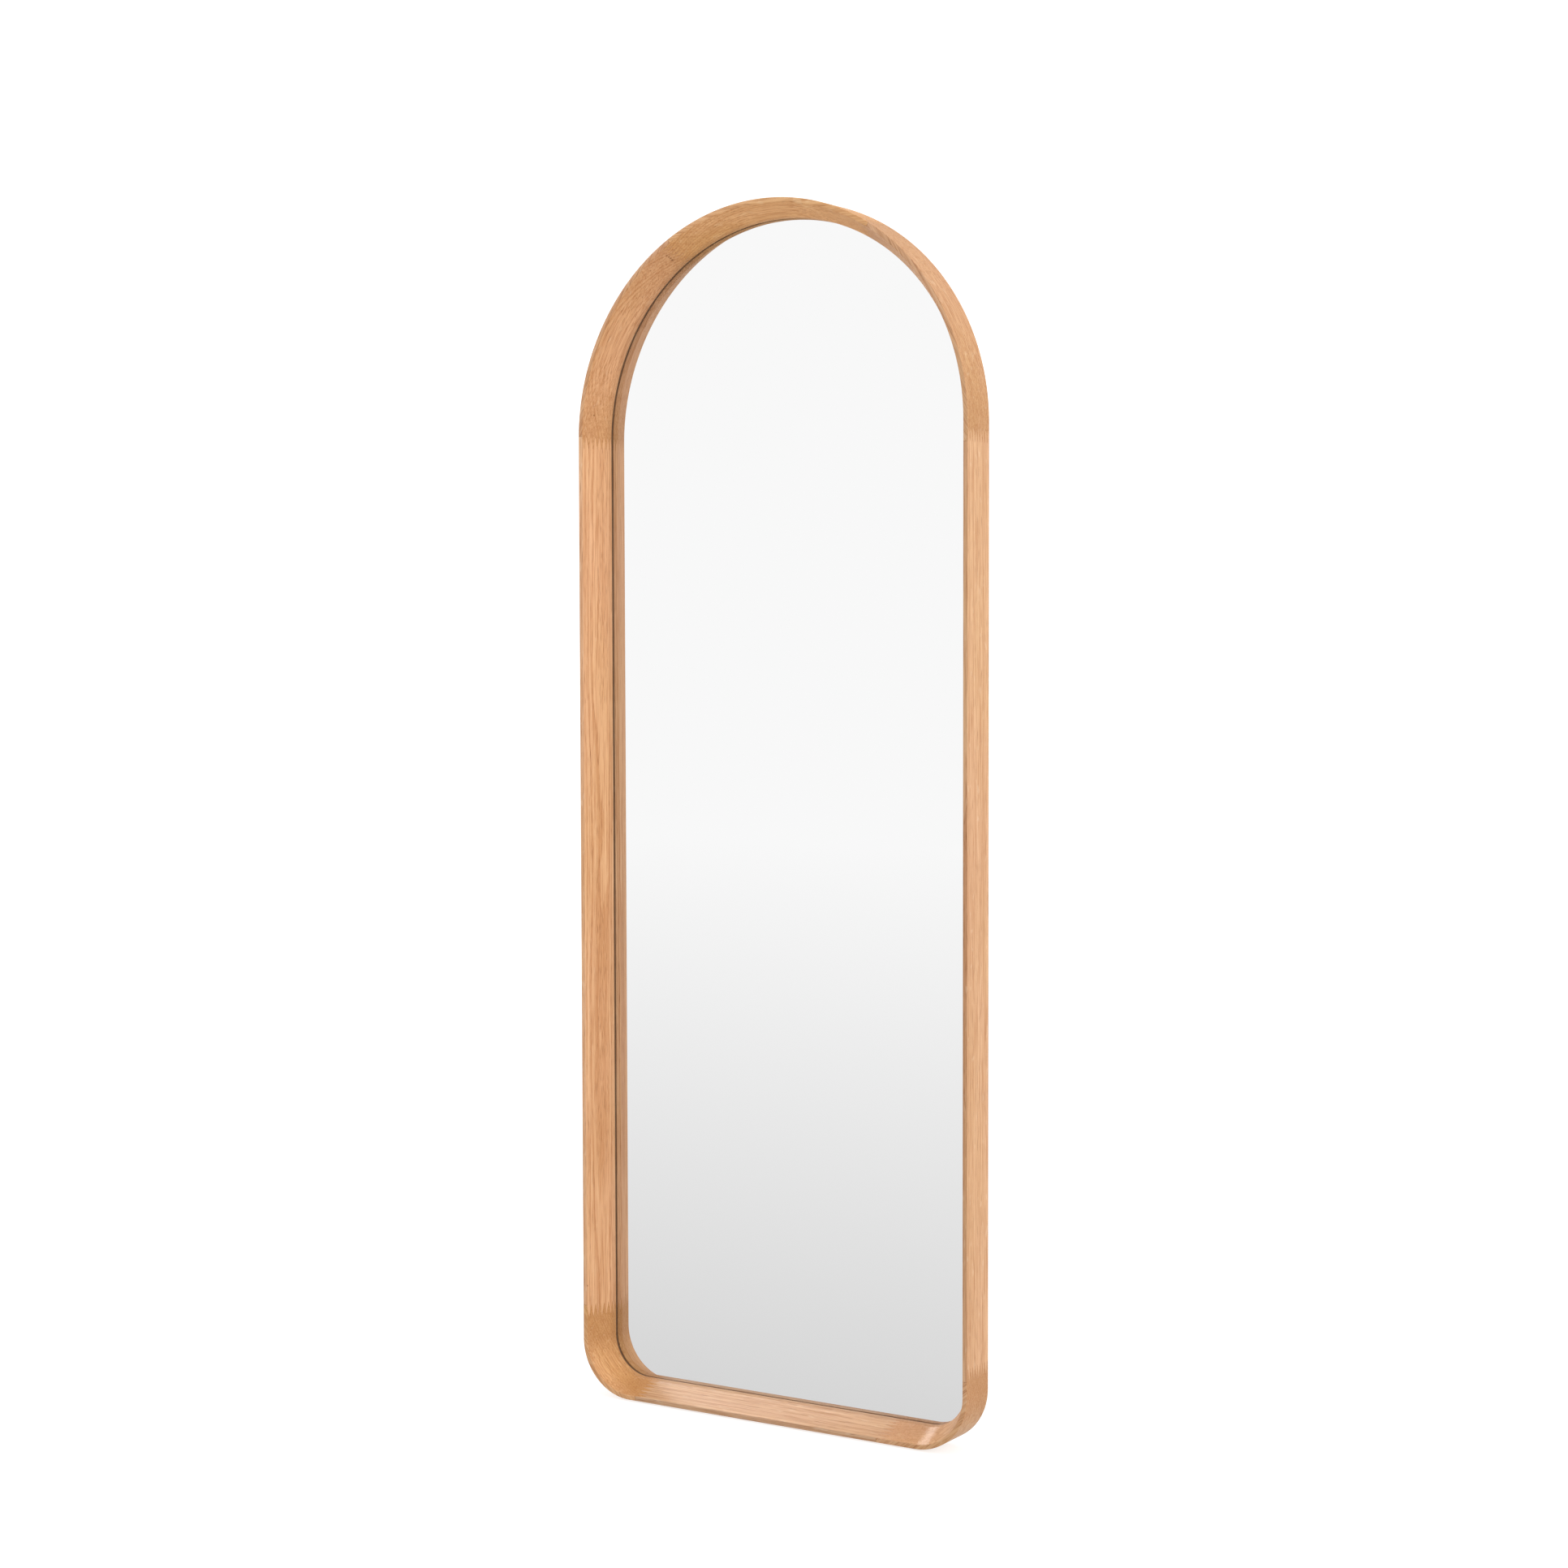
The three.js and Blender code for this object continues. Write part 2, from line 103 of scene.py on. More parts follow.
def quarter_turn(count: int) -> Array:
    """Returns count angles from 0 to a quarter turn."""
    return np.linspace(0, np.pi / 2, count)


def on_circle(turn: Array, radius: "Array | float" = 1.0) -> tuple[Array, Array]:
    """Returns both coordinates of the points at these angles on a circle."""
    return radius * np.cos(turn), radius * np.sin(turn)


def rounded(distance: Array, radius: float) -> Array:
    """Returns how far a quarter-round edge stands back at a distance from its face.

    The edge is a circle of the radius, so the step back is radius - sqrt(radius^2 - (radius - distance)^2).

    Args:
        distance: The distances from the face that the edge starts at.
        radius: The edge's radius.

    Returns:
        The step back at each distance, 0 from one radius on.
    """
    short = np.clip(radius - distance, 0, radius)
    return radius - np.sqrt(radius**2 - short**2)


# ---- Meshes ----

@dataclass(frozen=True)
class Place:
    """Where a piece's own axes lie in the frame: an origin and three unit vectors."""

    origin: tuple[float, float, float]
    across: tuple[float, float, float] = (1, 0, 0)
    up: tuple[float, float, float] = (0, 0, 1)
    out: tuple[float, float, float] = (0, 1, 0)

    def put(self, points: Array) -> Array:
        """Returns origin + u across + v up + w out for points whose last axis holds u, v and w."""
        return np.array(self.origin) + points @ np.array([self.across, self.up, self.out], float)


class Shell:
    """The points and faces of one closed piece, gathered patch by patch."""

    def __init__(self) -> None:
        """Starts with no points."""
        self.points: list[Array] = []
        self.faces: list[list[int]] = []
        self.finishes: list[int] = []
        self.marks: dict[str, Array] = {}

    def add(self, grid: Array) -> Array:
        """Adds a grid of points.

        Args:
            grid: The points, with x, y and z on the last axis.

        Returns:
            The points' numbers, in the grid's own shape.
        """
        first = sum(len(p) for p in self.points)
        self.points.append(grid.reshape(-1, 3))
        return np.arange(first, first + grid[..., 0].size).reshape(grid.shape[:-1])

    def weave(self, numbers: Array, close_rows: bool = False, close_columns: bool = False,
              finish: int = 0) -> None:
        """Joins each point of a grid to its neighbours with four-sided faces.

        Args:
            numbers: The points' numbers, by row and column.
            close_rows: Whether the last row joins the first.
            close_columns: Whether the last column joins the first.
            finish: The faces' place in the piece's list of materials.
        """
        if close_rows:
            numbers = np.concatenate([numbers, numbers[:1]])
        if close_columns:
            numbers = np.concatenate([numbers, numbers[:, :1]], axis=1)
        corners = [numbers[:-1, :-1], numbers[1:, :-1], numbers[1:, 1:], numbers[:-1, 1:]]
        faces = np.stack(corners, axis=-1).reshape(-1, 4).tolist()
        self.faces += faces
        self.finishes += [finish] * len(faces)

    def lid(self, ring: Array, finish: int = 0) -> None:
        """Closes a flat ring of points with one face.

        Args:
            ring: The points' numbers, in order.
            finish: The face's place in the piece's list of materials.
        """
        self.faces.append(ring.tolist())
        self.finishes.append(finish)

    def piece(self, name: str, materials: list[bpy.types.Material], crease: float = 32) -> bpy.types.Object:
        """Makes the object: equal points are merged, faces are turned outwards and sharp edges are marked.

        Args:
            name: The object's name.
            materials: Its materials, in the order that the faces count them.
            crease: The angle between faces, in degrees, past which their edge is shaded sharp.

        Returns:
            The new object, at the origin, with its place in its mesh.
        """
        mesh = bpy.data.meshes.new(name)
        mesh.from_pydata(np.concatenate(self.points).tolist(), [], self.faces)
        for material in materials:
            mesh.materials.append(material)
        mesh.polygons.foreach_set("material_index", self.finishes)
        mesh.polygons.foreach_set("use_smooth", [True] * len(self.faces))
        for mark, values in self.marks.items():
            layer = mesh.attributes.new(mark, "FLOAT", "POINT")
            layer.data.foreach_set("value", values.ravel().astype(np.float32))
        work = bmesh.new()
        work.from_mesh(mesh)
        bmesh.ops.remove_doubles(work, verts=work.verts, dist=SAME_POINT)
        bmesh.ops.recalc_face_normals(work, faces=work.faces)
        work.to_mesh(mesh)
        work.free()
        mesh.set_sharp_from_angle(angle=math.radians(crease))
        made = bpy.data.objects.new(name, mesh)
        bpy.context.scene.collection.objects.link(made)
        return made


def soft_box(width: float, height: float, corner: float, count: int = 9) -> tuple[Array, Array]:
    """Gives a rectangle about the origin with round corners.

    Each corner is a quarter circle of count points, so straight sides need none of their own.

    Args:
        width: The size along the first axis.
        height: The size along the second axis.
        corner: The corners' radius.
        count: How many points a corner has.

    Returns:
        The points and their outward unit normals, anticlockwise.
    """
    turn = (quarter_turn(count) + np.arange(4)[:, None] * np.pi / 2).ravel()
    normal = np.stack(on_circle(turn), axis=-1)
    signs = np.repeat([[1, 1], [-1, 1], [-1, -1], [1, -1]], count, axis=0)
    return signs * (np.array([width, height]) / 2 - corner) + corner * normal, normal


def eased_plate(thickness: float, ease: float, count: int = 5) -> Array:
    """Gives the edge profile of a plate with both of its arrises rounded.

    Args:
        thickness: The plate's thickness.
        ease: The radius of both arrises.
        count: How many points an arris has.

    Returns:
        Rows of how far the edge stands back and how high it is, from the lower face to the upper one.
    """
    turn = quarter_turn(count)
    inset = ease * (1 - np.sin(turn))
    height = ease * (1 - np.cos(turn))
    top = thickness - height[::-1]
    return np.concatenate([np.stack([inset, height], -1), np.stack([inset[::-1], top], -1)])


def slab(outline: tuple[Array, Array], profile: Array, place: Place,
         finishes: tuple[int, int, int] = (0, 0, 0)) -> Shell:
    """Makes a flat piece: an outline carried along an edge profile, with a lid on each end.

    Point (i, j) is outline point i, moved back along its normal by profile row j's inset, at its height.

    Args:
        outline: The outline's points and outward normals.
        profile: Rows of inset and height.
        place: Where the outline's two axes and the height lie.
        finishes: The materials of the first lid, the edge and the last lid.

    Returns:
        The closed surface.
    """
    points, normals = outline
    flat = points[:, None] - normals[:, None] * profile[None, :, :1]
    height = np.broadcast_to(profile[None, :, 1:], (*flat.shape[:2], 1))
    shell = Shell()
    numbers = shell.add(place.put(np.concatenate([flat, height], axis=-1)))
    shell.weave(numbers, close_rows=True, finish=finishes[1])
    shell.lid(numbers[:, 0], finishes[0])
    shell.lid(numbers[:, -1], finishes[2])
    return shell


def lathe(radius: Array, height: Array, place: Place) -> Shell:
    """Makes a turned piece, closed at both ends by rows whose radius is 0.

    Point (i, j) stands at angle j round the axis, radius[i, j] from it and height[i, j] along it.

    Args:
        radius: The radii, by row along the profile and column round the axis.
        height: The heights, in the same shape.
        place: Where the turning plane and the axis lie.

    Returns:
        The closed surface.
    """
    points = np.stack([*on_circle(full_turn(radius.shape[1]), radius), height], axis=-1)
    shell = Shell()
    shell.weave(shell.add(place.put(points)), close_columns=True)
    return shell


def rod(points: Array) -> Shell:
    """Makes a rod from sections, one per row, with a lid on the first and the last.

    Args:
        points: The points, by row along the rod and column round it.

    Returns:
        The closed surface.
    """
    shell = Shell()
    numbers = shell.add(points)
    shell.weave(numbers, close_columns=True)
    shell.lid(numbers[0])
    shell.lid(numbers[-1])
    return shell


# ---- Shader graphs ----

class Wire:
    """One output of a material's nodes. Arithmetic on it adds Math nodes."""

    def __init__(self, graph: "Graph", socket: bpy.types.NodeSocket) -> None:
        """Keeps the graph and the socket that the value comes from."""
        self.graph = graph
        self.socket = socket

    def math(self, operation: str, *values: "Wire | float") -> "Wire":
        """Runs a Math node on the values and returns its result."""
        inputs = dict(zip(("Value", "Value_001", "Value_002"), values))
        return self.graph.node("ShaderNodeMath", {"operation": operation}, inputs)["Value"]

    def __add__(self, other: "Wire | float") -> "Wire":
        """Returns the sum."""
        return self.math("ADD", self, other)

    def __radd__(self, other: float) -> "Wire":
        """Returns the sum."""
        return self.math("ADD", other, self)

    def __sub__(self, other: "Wire | float") -> "Wire":
        """Returns the difference."""
        return self.math("SUBTRACT", self, other)

    def __rsub__(self, other: float) -> "Wire":
        """Returns the other value less this one."""
        return self.math("SUBTRACT", other, self)

    def __mul__(self, other: "Wire | float") -> "Wire":
        """Returns the product."""
        return self.math("MULTIPLY", self, other)

    def __rmul__(self, other: float) -> "Wire":
        """Returns the product."""
        return self.math("MULTIPLY", other, self)

    def __truediv__(self, other: "Wire | float") -> "Wire":
        """Returns the quotient."""
        return self.math("DIVIDE", self, other)

    def __pow__(self, other: float) -> "Wire":
        """Returns this value to a power."""
        return self.math("POWER", self, other)

    def fract(self) -> "Wire":
        """Returns what is past the last whole number."""
        return self.math("FRACT", self)

    def rise(self, low: float, high: float) -> "Wire":
        """Returns 0 below low, 1 above high and a smooth step between."""
        return self.graph.node("ShaderNodeMapRange", {"interpolation_type": "SMOOTHSTEP"},
                               {"Value": self, "From Min": low, "From Max": high})["Result"]


class Outputs:
    """A made node, whose outputs are read by name as wires."""

    def __init__(self, graph: "Graph", node: bpy.types.Node) -> None:
        """Keeps the graph and its node."""
        self.graph = graph
        self.node = node

    def __getitem__(self, name: str) -> Wire:
        """Returns the output with that identifier, or else that name."""
        return Wire(self.graph, pick(self.node.outputs, name))


def pick(sockets: bpy.types.bpy_prop_collection, name: str) -> bpy.types.NodeSocket:
    """Finds a socket among a node's inputs or outputs.

    Args:
        sockets: The node's inputs or outputs.
        name: The socket's identifier, or its name where no identifier fits.

    Returns:
        The socket.
    """
    exact = [s for s in sockets if s.identifier == name]
    return exact[0] if exact else sockets[name]


class Graph:
    """The nodes of one material, with a Principled shader on its output."""

    def __init__(self, name: str) -> None:
        """Makes an empty material.

        Args:
            name: The material's name.
        """
        self.material = bpy.data.materials.new(name)
        self.material.use_nodes = True
        self.tree = self.material.node_tree
        self.tree.nodes.clear()

    def node(self, kind: str, settings: dict | None = None, inputs: dict | None = None) -> Outputs:
        """Adds a node.

        Args:
            kind: The node's type.
            settings: Its properties.
            inputs: Values or wires for its inputs, by identifier or name.

        Returns:
            The node's outputs.
        """
        made = self.tree.nodes.new(kind)
        for name, value in (settings or {}).items():
            setattr(made, name, value)
        for name, value in (inputs or {}).items():
            socket = pick(made.inputs, name)
            if isinstance(value, Wire):
                self.tree.links.new(value.socket, socket)
            elif socket.type == "RGBA":
                socket.default_value = (*value, 1)
            else:
                socket.default_value = value
        return Outputs(self, made)

    def here(self) -> Wire:
        """Returns the Object coordinates."""
        return self.node("ShaderNodeTexCoord")["Object"]

    def mark(self, name: str) -> Wire:
        """Returns a number that the mesh holds for each point."""
        return self.node("ShaderNodeAttribute", {"attribute_name": name})["Fac"]

    def vector(self, operation: str, *values: "Wire | tuple", output: str = "Vector") -> Wire:
        """Runs a Vector Math node on the values and returns one of its outputs."""
        inputs = dict(zip(("Vector", "Vector_001", "Vector_002"), values))
        return self.node("ShaderNodeVectorMath", {"operation": operation}, inputs)[output]

    def split(self, vector: Wire) -> tuple[Wire, Wire, Wire]:
        """Returns a vector's three numbers."""
        parts = self.node("ShaderNodeSeparateXYZ", None, {"Vector": vector})
        return parts["X"], parts["Y"], parts["Z"]

    def join(self, x: "Wire | float", y: "Wire | float", z: "Wire | float") -> Wire:
        """Returns the vector of three numbers."""
        return self.node("ShaderNodeCombineXYZ", None, {"X": x, "Y": y, "Z": z})["Vector"]

    def noise(self, where: Wire, scale: tuple[float, float, float], seed: float, detail: float = 2,
              roughness: float = 0.55) -> Wire:
        """Returns smooth noise from 0 to 1.

        Args:
            where: The point that it is read at.
            scale: How many waves a metre holds along each axis.
            seed: A number that picks the pattern.
            detail: How many finer layers are added.
            roughness: How strong each finer layer is beside the one before.

        Returns:
            The noise.
        """
        shift = (seed * 1.7, seed * 3.1, seed * 2.3)
        place = self.vector("MULTIPLY_ADD", where, scale, shift)
        inputs = {"Vector": place, "Scale": 1.0, "Detail": detail, "Roughness": roughness}
        return self.node("ShaderNodeTexNoise", {"noise_dimensions": "3D"}, inputs)["Fac"]

    def mix(self, share: "Wire | float", first: "Wire | Colour", second: "Wire | Colour",
            blend: str = "MIX") -> Wire:
        """Mixes two colours.

        Args:
            share: How much of the second there is.
            first: The first colour.
            second: The second colour.
            blend: The way that they mix.

        Returns:
            The mixed colour.
        """
        inputs = {"Factor_Float": share, "A_Color": first, "B_Color": second}
        settings = {"data_type": "RGBA", "blend_type": blend, "clamp_factor": True}
        return self.node("ShaderNodeMix", settings, inputs)["Result_Color"]

    def bump(self, height: Wire, strength: float, distance: float) -> Wire:
        """Returns the normal of a surface raised by height, at most distance high."""
        inputs = {"Strength": strength, "Distance": distance, "Height": height}
        return self.node("ShaderNodeBump", None, inputs)["Normal"]

    def shade(self, **inputs: "Wire | float | Colour") -> bpy.types.Material:
        """Ends the graph in a Principled shader.

        Args:
            **inputs: Its inputs, with underscores for spaces.

        Returns:
            The finished material.
        """
        named = {name.replace("_", " "): value for name, value in inputs.items()}
        shader = self.node("ShaderNodeBsdfPrincipled", None, named)
        self.node("ShaderNodeOutputMaterial", None, {"Surface": shader["BSDF"]})
        return self.material


# ---- Finishes ----

@dataclass(frozen=True)
class OakTones:
    """The colours of oiled oak."""

    late: Colour = paint(219, 172, 129)
    early: Colour = paint(179, 123, 81)
    pore: Colour = paint(126, 76, 44)
    honey: Colour = paint(197, 147, 93)
    rose: Colour = paint(208, 152, 115)
    ray: Colour = paint(224, 187, 150)
    end_grain: Colour = paint(164, 112, 66)
    glue: Colour = paint(116, 74, 45)


@dataclass(frozen=True)
class Knot:
    """A pin knot: a small dark spot where a twig grew."""

    place: tuple[float, float, float]
    radius: float


@dataclass(frozen=True)
class OakStick:
    """One piece of the frame and how it was cut from its board.

    Its growth rings stand about a line, the heart, given in depth and across the fibre from the
    pattern's middle. Its knots are rows of length along the frame, depth and radius.
    """

    name: str
    start: float
    end: float
    step: float
    heart: tuple[float, float]
    seed: float
    ring: float
    tilt: float
    honey: float
    figure: float = 6 * MM
    # tone: multiplies the whole piece's colour; it is the wood's own, but on the crown, and partly on the
    # right stile, it is painted light.
    tone: Colour = WHITE
    # edge: painted shade, a colour that darkens the front edge, which gets less light than the sides; it also
    # differs from stick to stick with the wood.
    edge: Colour = (0.82, 0.84, 0.88)
    gloss: float = 0.08
    knots: tuple[tuple[float, float, float], ...] = ()


@dataclass(frozen=True)
class Grain:
    """One layer of noise in the oak, drawn out along the fibre and sharpened between two levels.

    Its waves are counted per metre. The offset is added to the stick's seed, so that no two layers of
    one stick are alike.
    """

    waves_along: float
    waves_across: float
    offset: float
    detail: float
    roughness: float = 0.55
    low: float = 0.0
    high: float = 1.0

    def raw(self, graph: Graph, fibre: Wire, seed: float) -> Wire:
        """Returns the layer before it is sharpened."""
        scale = (self.waves_along, self.waves_across, self.waves_across)
        return graph.noise(fibre, scale, seed + self.offset, self.detail, self.roughness)

    def read(self, graph: Graph, fibre: Wire, seed: float) -> Wire:
        """Returns the layer at a point, from 0 to 1."""
        return self.raw(graph, fibre, seed).rise(self.low, self.high)


@dataclass(frozen=True)
class OakFinish:
    """Oiled oak, cut from its own place in the log.

    The fibre lies in the plane of the frame. Growth rings are cylinders about the heart, a line along
    the fibre, and their distance from it wanders a little, which draws the figure.
    """

    stick: OakStick
    lay: float
    origin: tuple[float, float, float]
    knots: tuple[Knot, ...]
    tones: OakTones = OakTones()
    wander: Grain = Grain(2.6, 15, 0, 2)
    jitter: Grain = Grain(26, 240, 4, 2)
    streak: Grain = Grain(4.5, 170, 1, 3, 0.65, 0.32, 0.70)
    hair: Grain = Grain(13, 560, 2, 2, 0.6, 0.47, 0.66)
    pore: Grain = Grain(48, 1300, 3, 1, 0.55, 0.56, 0.70)
    blotch: Grain = Grain(3.0, 13, 5, 2, 0.55, 0.3, 0.7)
    jitter_reach: float = 1.1 * MM
    year_step: float = 0.83
    ray_scale: tuple[float, float, float] = (55, 120, 60)
    rose_share: float = 0.3
    streak_share: float = 0.42
    hair_share: float = 0.7
    ray_share: float = 0.3
    pore_share: float = 0.6
    knot_share: float = 0.8
    run_out_share: float = 0.5
    glue_share: float = 0.4
    glue_line: tuple[float, float] = (0.08 * MM, 0.6 * MM)
    roughness: float = 0.54
    gloss_roughness: float = 0.24
    face_gloss: float = 0.05
    relief: float = 0.35 * MM

    def rings(self, graph: Graph, fibre: Wire) -> tuple[Wire, Wire, Wire]:
        """Works out where a point lies among the growth rings.

        Args:
            graph: The material's graph.
            fibre: The point from the pattern's middle, along the fibre, in depth and across.

        Returns:
            The distance from the heart, the share of porous early wood and the year's own strength.
        """
        stick = self.stick
        _, depth, across = graph.split(fibre)
        wander = self.wander.raw(graph, fibre, stick.seed) - 0.5
        jitter = self.jitter.raw(graph, fibre, stick.seed) - 0.5
        deep, wide = depth - stick.heart[0], across - stick.heart[1]
        straight = (deep * deep + wide * wide) ** 0.5
        radius = straight + wander * stick.figure + jitter * self.jitter_reach
        season = radius / stick.ring
        year_place = graph.join(season * self.year_step, stick.seed, 0.5)
        year = graph.noise(year_place, (1, 1, 1), stick.seed, 0).rise(0.25, 0.75)
        cycle = season.fract()
        return radius, cycle.rise(0.0, 0.12) * (1 - cycle.rise(0.18, 0.72)), year

    def rays(self, graph: Graph, fibre: Wire, radius: Wire) -> Wire:
        """Works out the rays, short pale flecks that run out from the heart.

        Args:
            graph: The material's graph.
            fibre: The point from the pattern's middle, along the fibre, in depth and across.
            radius: Its distance from the heart.

        Returns:
            The share of ray, from 0 to 1.
        """
        along, depth, across = graph.split(fibre)
        deep, wide = depth - self.stick.heart[0], across - self.stick.heart[1]
        angle = deep.math("ARCTAN2", deep, wide)
        near, out, round_heart = self.ray_scale
        place = graph.join(along * near, radius * out, angle * round_heart)
        return graph.noise(place, (1, 1, 1), self.stick.seed + 6, 1).rise(0.64, 0.74)

    def make(self) -> bpy.types.Material:
        """Layers the wood: years, blotches, streaks, pores and rays, then knots, end grain and glue, and last
        the painted shade of the front edge.

        Returns:
            The material.
        """
        stick, tones = self.stick, self.tones
        graph = Graph(f"oiled_oak_{stick.name}")
        local = graph.vector("SUBTRACT", graph.here(), self.origin)
        fibre = graph.node("ShaderNodeMapping", {"vector_type": "POINT"},
                           {"Vector": local, "Rotation": (0, self.lay, stick.tilt)})["Vector"]
        radius, early, year = self.rings(graph, fibre)
        streak, hair, pore, blotch = (layer.read(graph, fibre, stick.seed)
                                      for layer in (self.streak, self.hair, self.pore, self.blotch))
        rays = self.rays(graph, fibre, radius)
        pores = pore * (0.25 + 0.75 * early)

        colour = tones.late
        layers = ((early * (0.15 + 0.6 * year), tones.early), (blotch * stick.honey, tones.honey),
                  ((1 - blotch) * self.rose_share, tones.rose), (streak * self.streak_share, tones.early),
                  (hair * self.hair_share, tones.early), (rays * self.ray_share, tones.ray),
                  (pores * self.pore_share, tones.pore))
        for share, tone in layers:
            colour = graph.mix(share, colour, tone)
        # The stick's tone: the wood's own, and painted light on the crown and partly on the right stile.
        colour = graph.mix(1.0, colour, stick.tone, "MULTIPLY")
        for knot in self.knots:
            away = graph.vector("DISTANCE", graph.here(), knot.place, output="Value")
            outside = away.rise(0.3 * knot.radius, knot.radius)
            colour = graph.mix(self.knot_share - self.knot_share * outside, colour, tones.glue)
        run_out = graph.mark("run_out").rise(0.12, 0.85)
        colour = graph.mix(run_out * self.run_out_share, colour, tones.end_grain)
        glue = 1 - graph.mark("joint").rise(*self.glue_line)
        colour = graph.mix(glue * self.glue_share, colour, tones.glue)
        # Painted shade: the stick's edge colour darkens its front edge, which gets less light than its sides.
        colour = graph.mix(graph.mark("front"), colour, stick.edge, "MULTIPLY")

        height = hair * 0.4 + streak * 0.3 - pores * 0.9 - early * 0.25
        roughness = self.roughness + 0.1 * hair + 0.12 * pores - 0.05 * rays
        return graph.shade(Base_Color=colour, Roughness=roughness, Specular_IOR_Level=self.face_gloss,
                           Coat_Weight=stick.gloss * (1 - 0.6 * pores), Coat_Roughness=self.gloss_roughness,
                           Normal=graph.bump(height, 0.4, self.relief))


@dataclass(frozen=True)
class SilverFinish:
    """Silvered glass: a clean mirror with the faintest haze and a little dust."""

    name: str = "silvered_glass"
    tone: Colour = (0.74, 0.74, 0.74)
    dusty: Colour = (0.729, 0.729, 0.729)
    haze_waves: float = 3
    dust_waves: float = 900

    def make(self) -> bpy.types.Material:
        """Makes the silver, with its haze and dust.

        Returns:
            The material.
        """
        graph = Graph(self.name)
        haze = graph.noise(graph.here(), (self.haze_waves,) * 3, 7.0, 3).rise(0.45, 0.85)
        dust = graph.noise(graph.here(), (self.dust_waves,) * 3, 9.0, 1).rise(0.74, 0.8)
        colour = graph.mix(haze * 0.25 + dust * 0.35, self.tone, self.dusty)
        return graph.shade(Base_Color=colour, Metallic=1.0, Roughness=haze * 0.004 + dust * 0.01)


@dataclass(frozen=True)
class MetalFinish:
    """Plated steel, with cloudy tone and fine scratches along one axis."""

    name: str
    tone: Colour
    cloud: Colour
    roughness: float
    scratch: tuple[float, float, float]
    seed: float
    cloud_waves: float = 260
    pit_waves: float = 5200
    relief: float = 0.06 * MM

    def make(self) -> bpy.types.Material:
        """Makes the plating, with its clouds, scratches and pits.

        Returns:
            The material.
        """
        graph = Graph(self.name)
        here = graph.here()
        cloud = graph.noise(here, (self.cloud_waves,) * 3, self.seed, 3).rise(0.35, 0.7)
        scratch = graph.noise(here, self.scratch, self.seed + 1, 2)
        pit = graph.noise(here, (self.pit_waves,) * 3, self.seed + 2, 1).rise(0.66, 0.78)
        colour = graph.mix(cloud * 0.7, self.tone, self.cloud)
        colour = graph.mix(pit * 0.3, colour, tuple(0.55 * c for c in self.tone))
        roughness = self.roughness + 0.12 * scratch + 0.15 * pit - 0.05 * cloud
        relief = graph.bump(scratch * 0.5 - pit, 0.25, self.relief)
        return graph.shade(Base_Color=colour, Metallic=1.0, Roughness=roughness, Normal=relief)


class Surface(Enum):
    """The grains of the matt materials: waves per metre of the coarse and the fine pattern."""

    FIBREBOARD = (900, 6000)
    FELT = (700, 4200)
    RUBBER = (300, 7000)
    FILM = (40, 1500)
    PAINT = (120, 2400)


@dataclass(frozen=True)
class MattFinish:
    """A matt material with a coarse and a fine grain of two tones."""

    name: str
    grain: Surface
    tone: Colour
    second: Colour
    speck: Colour
    roughness: float
    relief: float
    stretch: tuple[float, float, float] = (1, 1, 1)
    sheen: float = 0.0
    sheen_roughness: float = 0.5
    speck_share: float = 0.45
    slow_waves: float = 5

    def make(self) -> bpy.types.Material:
        """Makes the surface from a broad, a close and a speckled grain.

        Returns:
            The material.
        """
        graph = Graph(self.name)
        here = graph.here()
        coarse, fine = self.grain.value
        broad, close, speck = (
            graph.noise(here, tuple(waves * s for s in self.stretch), seed, layers)
            for waves, seed, layers in ((coarse, 3.0, 3), (fine, 5.0, 2), (fine * self.speck_share, 8.0, 1)))
        speck = speck.rise(0.62, 0.74)
        slow = graph.noise(here, (self.slow_waves,) * 3, 2.0, 2).rise(0.3, 0.7)
        colour = graph.mix(broad.rise(0.3, 0.7) * 0.6, self.tone, self.second)
        colour = graph.mix(slow * 0.25, colour, self.second)
        colour = graph.mix(speck * 0.5, colour, self.speck)
        relief = graph.bump(close * 0.6 + broad * 0.4 - speck * 0.3, 0.5, self.relief)
        roughness = self.roughness + 0.1 * close - 0.05 * slow
        return graph.shade(Base_Color=colour, Roughness=roughness, Sheen_Weight=self.sheen,
                           Sheen_Roughness=self.sheen_roughness, Normal=relief)


ZINC = MetalFinish("bright_zinc_plate", paint(222, 223, 226), paint(206, 208, 203), 0.26,
                   (900, 900, 3600), 3.0)
NICKEL = MetalFinish("satin_nickel_plate", paint(216, 213, 205), paint(201, 196, 186), 0.30,
                     (3600, 900, 900), 8.0)
FIBREBOARD = MattFinish("raw_fibreboard", Surface.FIBREBOARD, paint(186, 152, 114), paint(172, 137, 99),
                        paint(126, 96, 66), 0.82, 0.00012, (1, 1, 0.6))
FELT = MattFinish("pressed_felt", Surface.FELT, paint(134, 104, 78), paint(112, 86, 64),
                  paint(164, 138, 112), 0.9, 0.0004, (1, 1, 1), 0.4)
RUBBER = MattFinish("matt_rubber", Surface.RUBBER, paint(78, 78, 79), paint(66, 66, 68),
                    paint(96, 96, 96), 0.62, 0.00005)
FILM = MattFinish("matt_grey_film", Surface.FILM, paint(150, 155, 157), paint(140, 146, 149),
                  paint(162, 166, 168), 0.42, 0.00004, (1, 1, 6))
# Paint on the glass's back and edge, and painted shade on the rim's wall beside the silver: its dark brown
# stands for the lip's shadow seen through the glass.
BACK_PAINT_AND_REVEAL_SHADE = MattFinish("glass_back_paint_and_reveal_shade", Surface.PAINT, paint(116, 84, 54), paint(98, 70, 45),
                     paint(132, 100, 68), 0.85, 0.00003)


# ---- The frame's line and section ----

